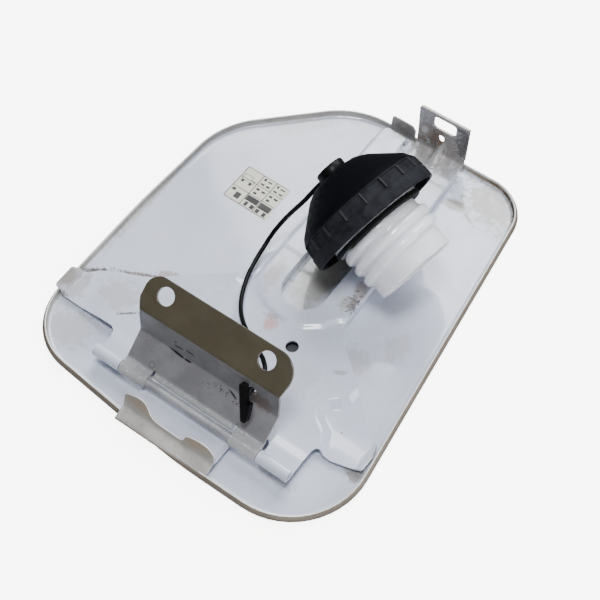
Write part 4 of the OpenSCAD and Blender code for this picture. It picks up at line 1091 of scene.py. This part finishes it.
tether_black = plain_moulding("tether_polypropylene", "#050506", "#0b0b0d", 0.36, shine=0.12)
rubber = plain_moulding("seal_nitrile_rubber", "#0e0e0f", "#19191a", 0.62, shine=0.2)
FINISHES = {
    "hinge_pin": grey_steel("pin_zinc_plate", "#a2a3a7", "#8d8e93", 0.4, 0.25),
    "tether_anchor": tether_black, "tether_stud": tether_black,
    "cap_retainer": acetal, "cap_seal": rubber, "valve_gasket": rubber,
    "ratchet_ring": plain_moulding("ring_glass_filled_nylon", "#0c0d0f", "#15161a", 0.6, shine=0.1),
    "spring_seat": plain_moulding("seat_acetal", "#d2d2cc", "#bdbdb6", 0.4),
    "pressure_spring": grey_steel("spring_steel_wire", "#9b9b98", "#b4b4b0", 0.28, 0.9, 0.2),
    "vacuum_spring": grey_steel("fine_spring_wire", "#9b9b98", "#b4b4b0", 0.28, 0.9, 0.2),
    "pressure_disc": grey_steel("valve_brass", "#b39a58", "#9c864c", 0.3, 0.9, 0.2),
    "vacuum_poppet": grey_steel("poppet_steel", "#8b8e92", "#a1a4a8", 0.3, 0.9, 0.2)}
for name, finish in FINISHES.items():
    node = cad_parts[name]
    node.data.materials.clear()
    node.data.materials.append(finish)
for name in ("hinge_pin", "tether_anchor", "tether_stud", "cap_retainer", "cap_seal"):
    shade(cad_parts[name], 35)
print(len(FINISHES), "measured nodes finished")

# %% [markdown]
# The bracket's edges carry a painted highlight: a copy of the measured bracket is merged and gets a
# narrow bevel whose faces carry a paler finish. Its large flat faces are shaded flat, because
# smooth shading would make the flange look hollow. The eye of the tether is a thick ring, spun and
# laid over with the cap, with the cap's stud standing in its middle.

# %% Bracket with painted edge highlights, and the tether's eye
# a face with a steeper normal than LEVEL keeps the primer; one above LARGE_FACE is shaded flat
LEVEL, LARGE_FACE = 0.93, 40 * MM * MM
bracket = bpy.data.objects.new("bracket_pressing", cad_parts["hinge_bracket"].data.copy())
bpy.context.collection.objects.link(bracket)
bracket.data.materials.clear()
# the paler finish of the bevel faces is a painted highlight along the bracket's edges
for finish in (olive_bracket(), grey_steel("bracket_painted_edge_highlight", "#b9b6b0", "#8f8b84", 0.45, 0.1, 0.2)):
    bracket.data.materials.append(finish)
bpy.ops.object.select_all(action="DESELECT")
edit_mode(bracket)
bpy.ops.mesh.select_all(action="SELECT")
bpy.ops.mesh.remove_doubles(threshold=1e-6)
bpy.ops.mesh.dissolve_limited(angle_limit=math.radians(1))
edit_mode(bracket, False)
apply_modifier(bracket, "BEVEL", width=0.55 * MM, segments=1, limit_method="ANGLE", angle_limit=math.radians(50),
               material=1)
for face in bracket.data.polygons:
    if abs(face.normal.z) > LEVEL:
        face.material_index = 0
shade(bracket, 35)
for face in bracket.data.polygons:
    if face.area > LARGE_FACE:
        face.use_smooth = False
hand_over(bracket, "bracket", "bracket_steel", "hinge_bracket")

EYE_PROFILE = [(3.0, -35.6), (8.6, -35.6), (8.8, -36.2), (8.8, -40.3), (8.3, -41.1), (6.4, -41.3), (5.6, -40.8),
               (5.3, -40.0), (5.3, -38.1), (3.0, -38.1)]
eye = spun("tether_eye_ring", EYE_PROFILE, 48)
lay_over(eye)
eye.data.materials.append(tether_black)
shade(eye, 35)
hand_over(eye, "door", "tether_plastic", "tether_eye")

# %% Tether: finish
tether.data.materials.append(tether_black)
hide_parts("tether_cord")
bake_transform(tether)

# %% [markdown]
# ## Floor and light
# A plain pale floor that glows, as a light table does, so that it stays white. The door's surfaces
# don't see it, so it doesn't light them from below. A large soft box stands behind the striker, as a window would: the
# slopes towards the camera fall in its shade. A small one overhead draws thin bright lines along
# the pressed bends, and two weak ones low on the right and in front light the rim's outer wall.

# %% Stage
bpy.ops.object.select_all(action="DESELECT")
bpy.ops.mesh.primitive_plane_add(size=30, location=(0, 0, -0.0004))
floor = bpy.context.object
floor.name = "studio_floor"
pale, _, shader, _ = new_finish("pale_floor", Roughness=0.9, Emission_Strength=6)
shader.inputs["Base Color"].default_value = colour("#fdfcf9")
shader.inputs["Emission Color"].default_value = (1, 0.99, 0.97, 1)
floor.data.materials.append(pale)
floor.visible_diffuse = floor.visible_glossy = False


def soft_box(name, at, size, power):
    """a square soft light, aimed at the middle of the door"""
    bpy.ops.object.light_add(type="AREA", location=at)
    lamp = bpy.context.object
    lamp.name = name
    lamp.data.shape = "SQUARE"
    lamp.data.size = size
    lamp.data.energy = power
    lamp.data.color = (0.96, 0.98, 1.0)
    lamp.rotation_euler = (-Vector(at)).to_track_quat("-Z", "Y").to_euler()


soft_box("window_box", (-0.35, 1.6, 1.6), 1.3, 64)
soft_box("top_box", (0.05, -0.14, 1.22), 0.3, 13)
soft_box("right_box", (0.9, 0.05, 0.28), 0.5, 6)
soft_box("low_box", (0.5, -0.9, 0.25), 0.6, 3.5)
world = bpy.data.worlds.new("studio_world")
world.use_nodes = True
world.node_tree.nodes["Background"].inputs["Color"].default_value = (0.98, 0.99, 1, 1)
world.node_tree.nodes["Background"].inputs["Strength"].default_value = 0.2
bpy.context.scene.world = world
print("stage ready")
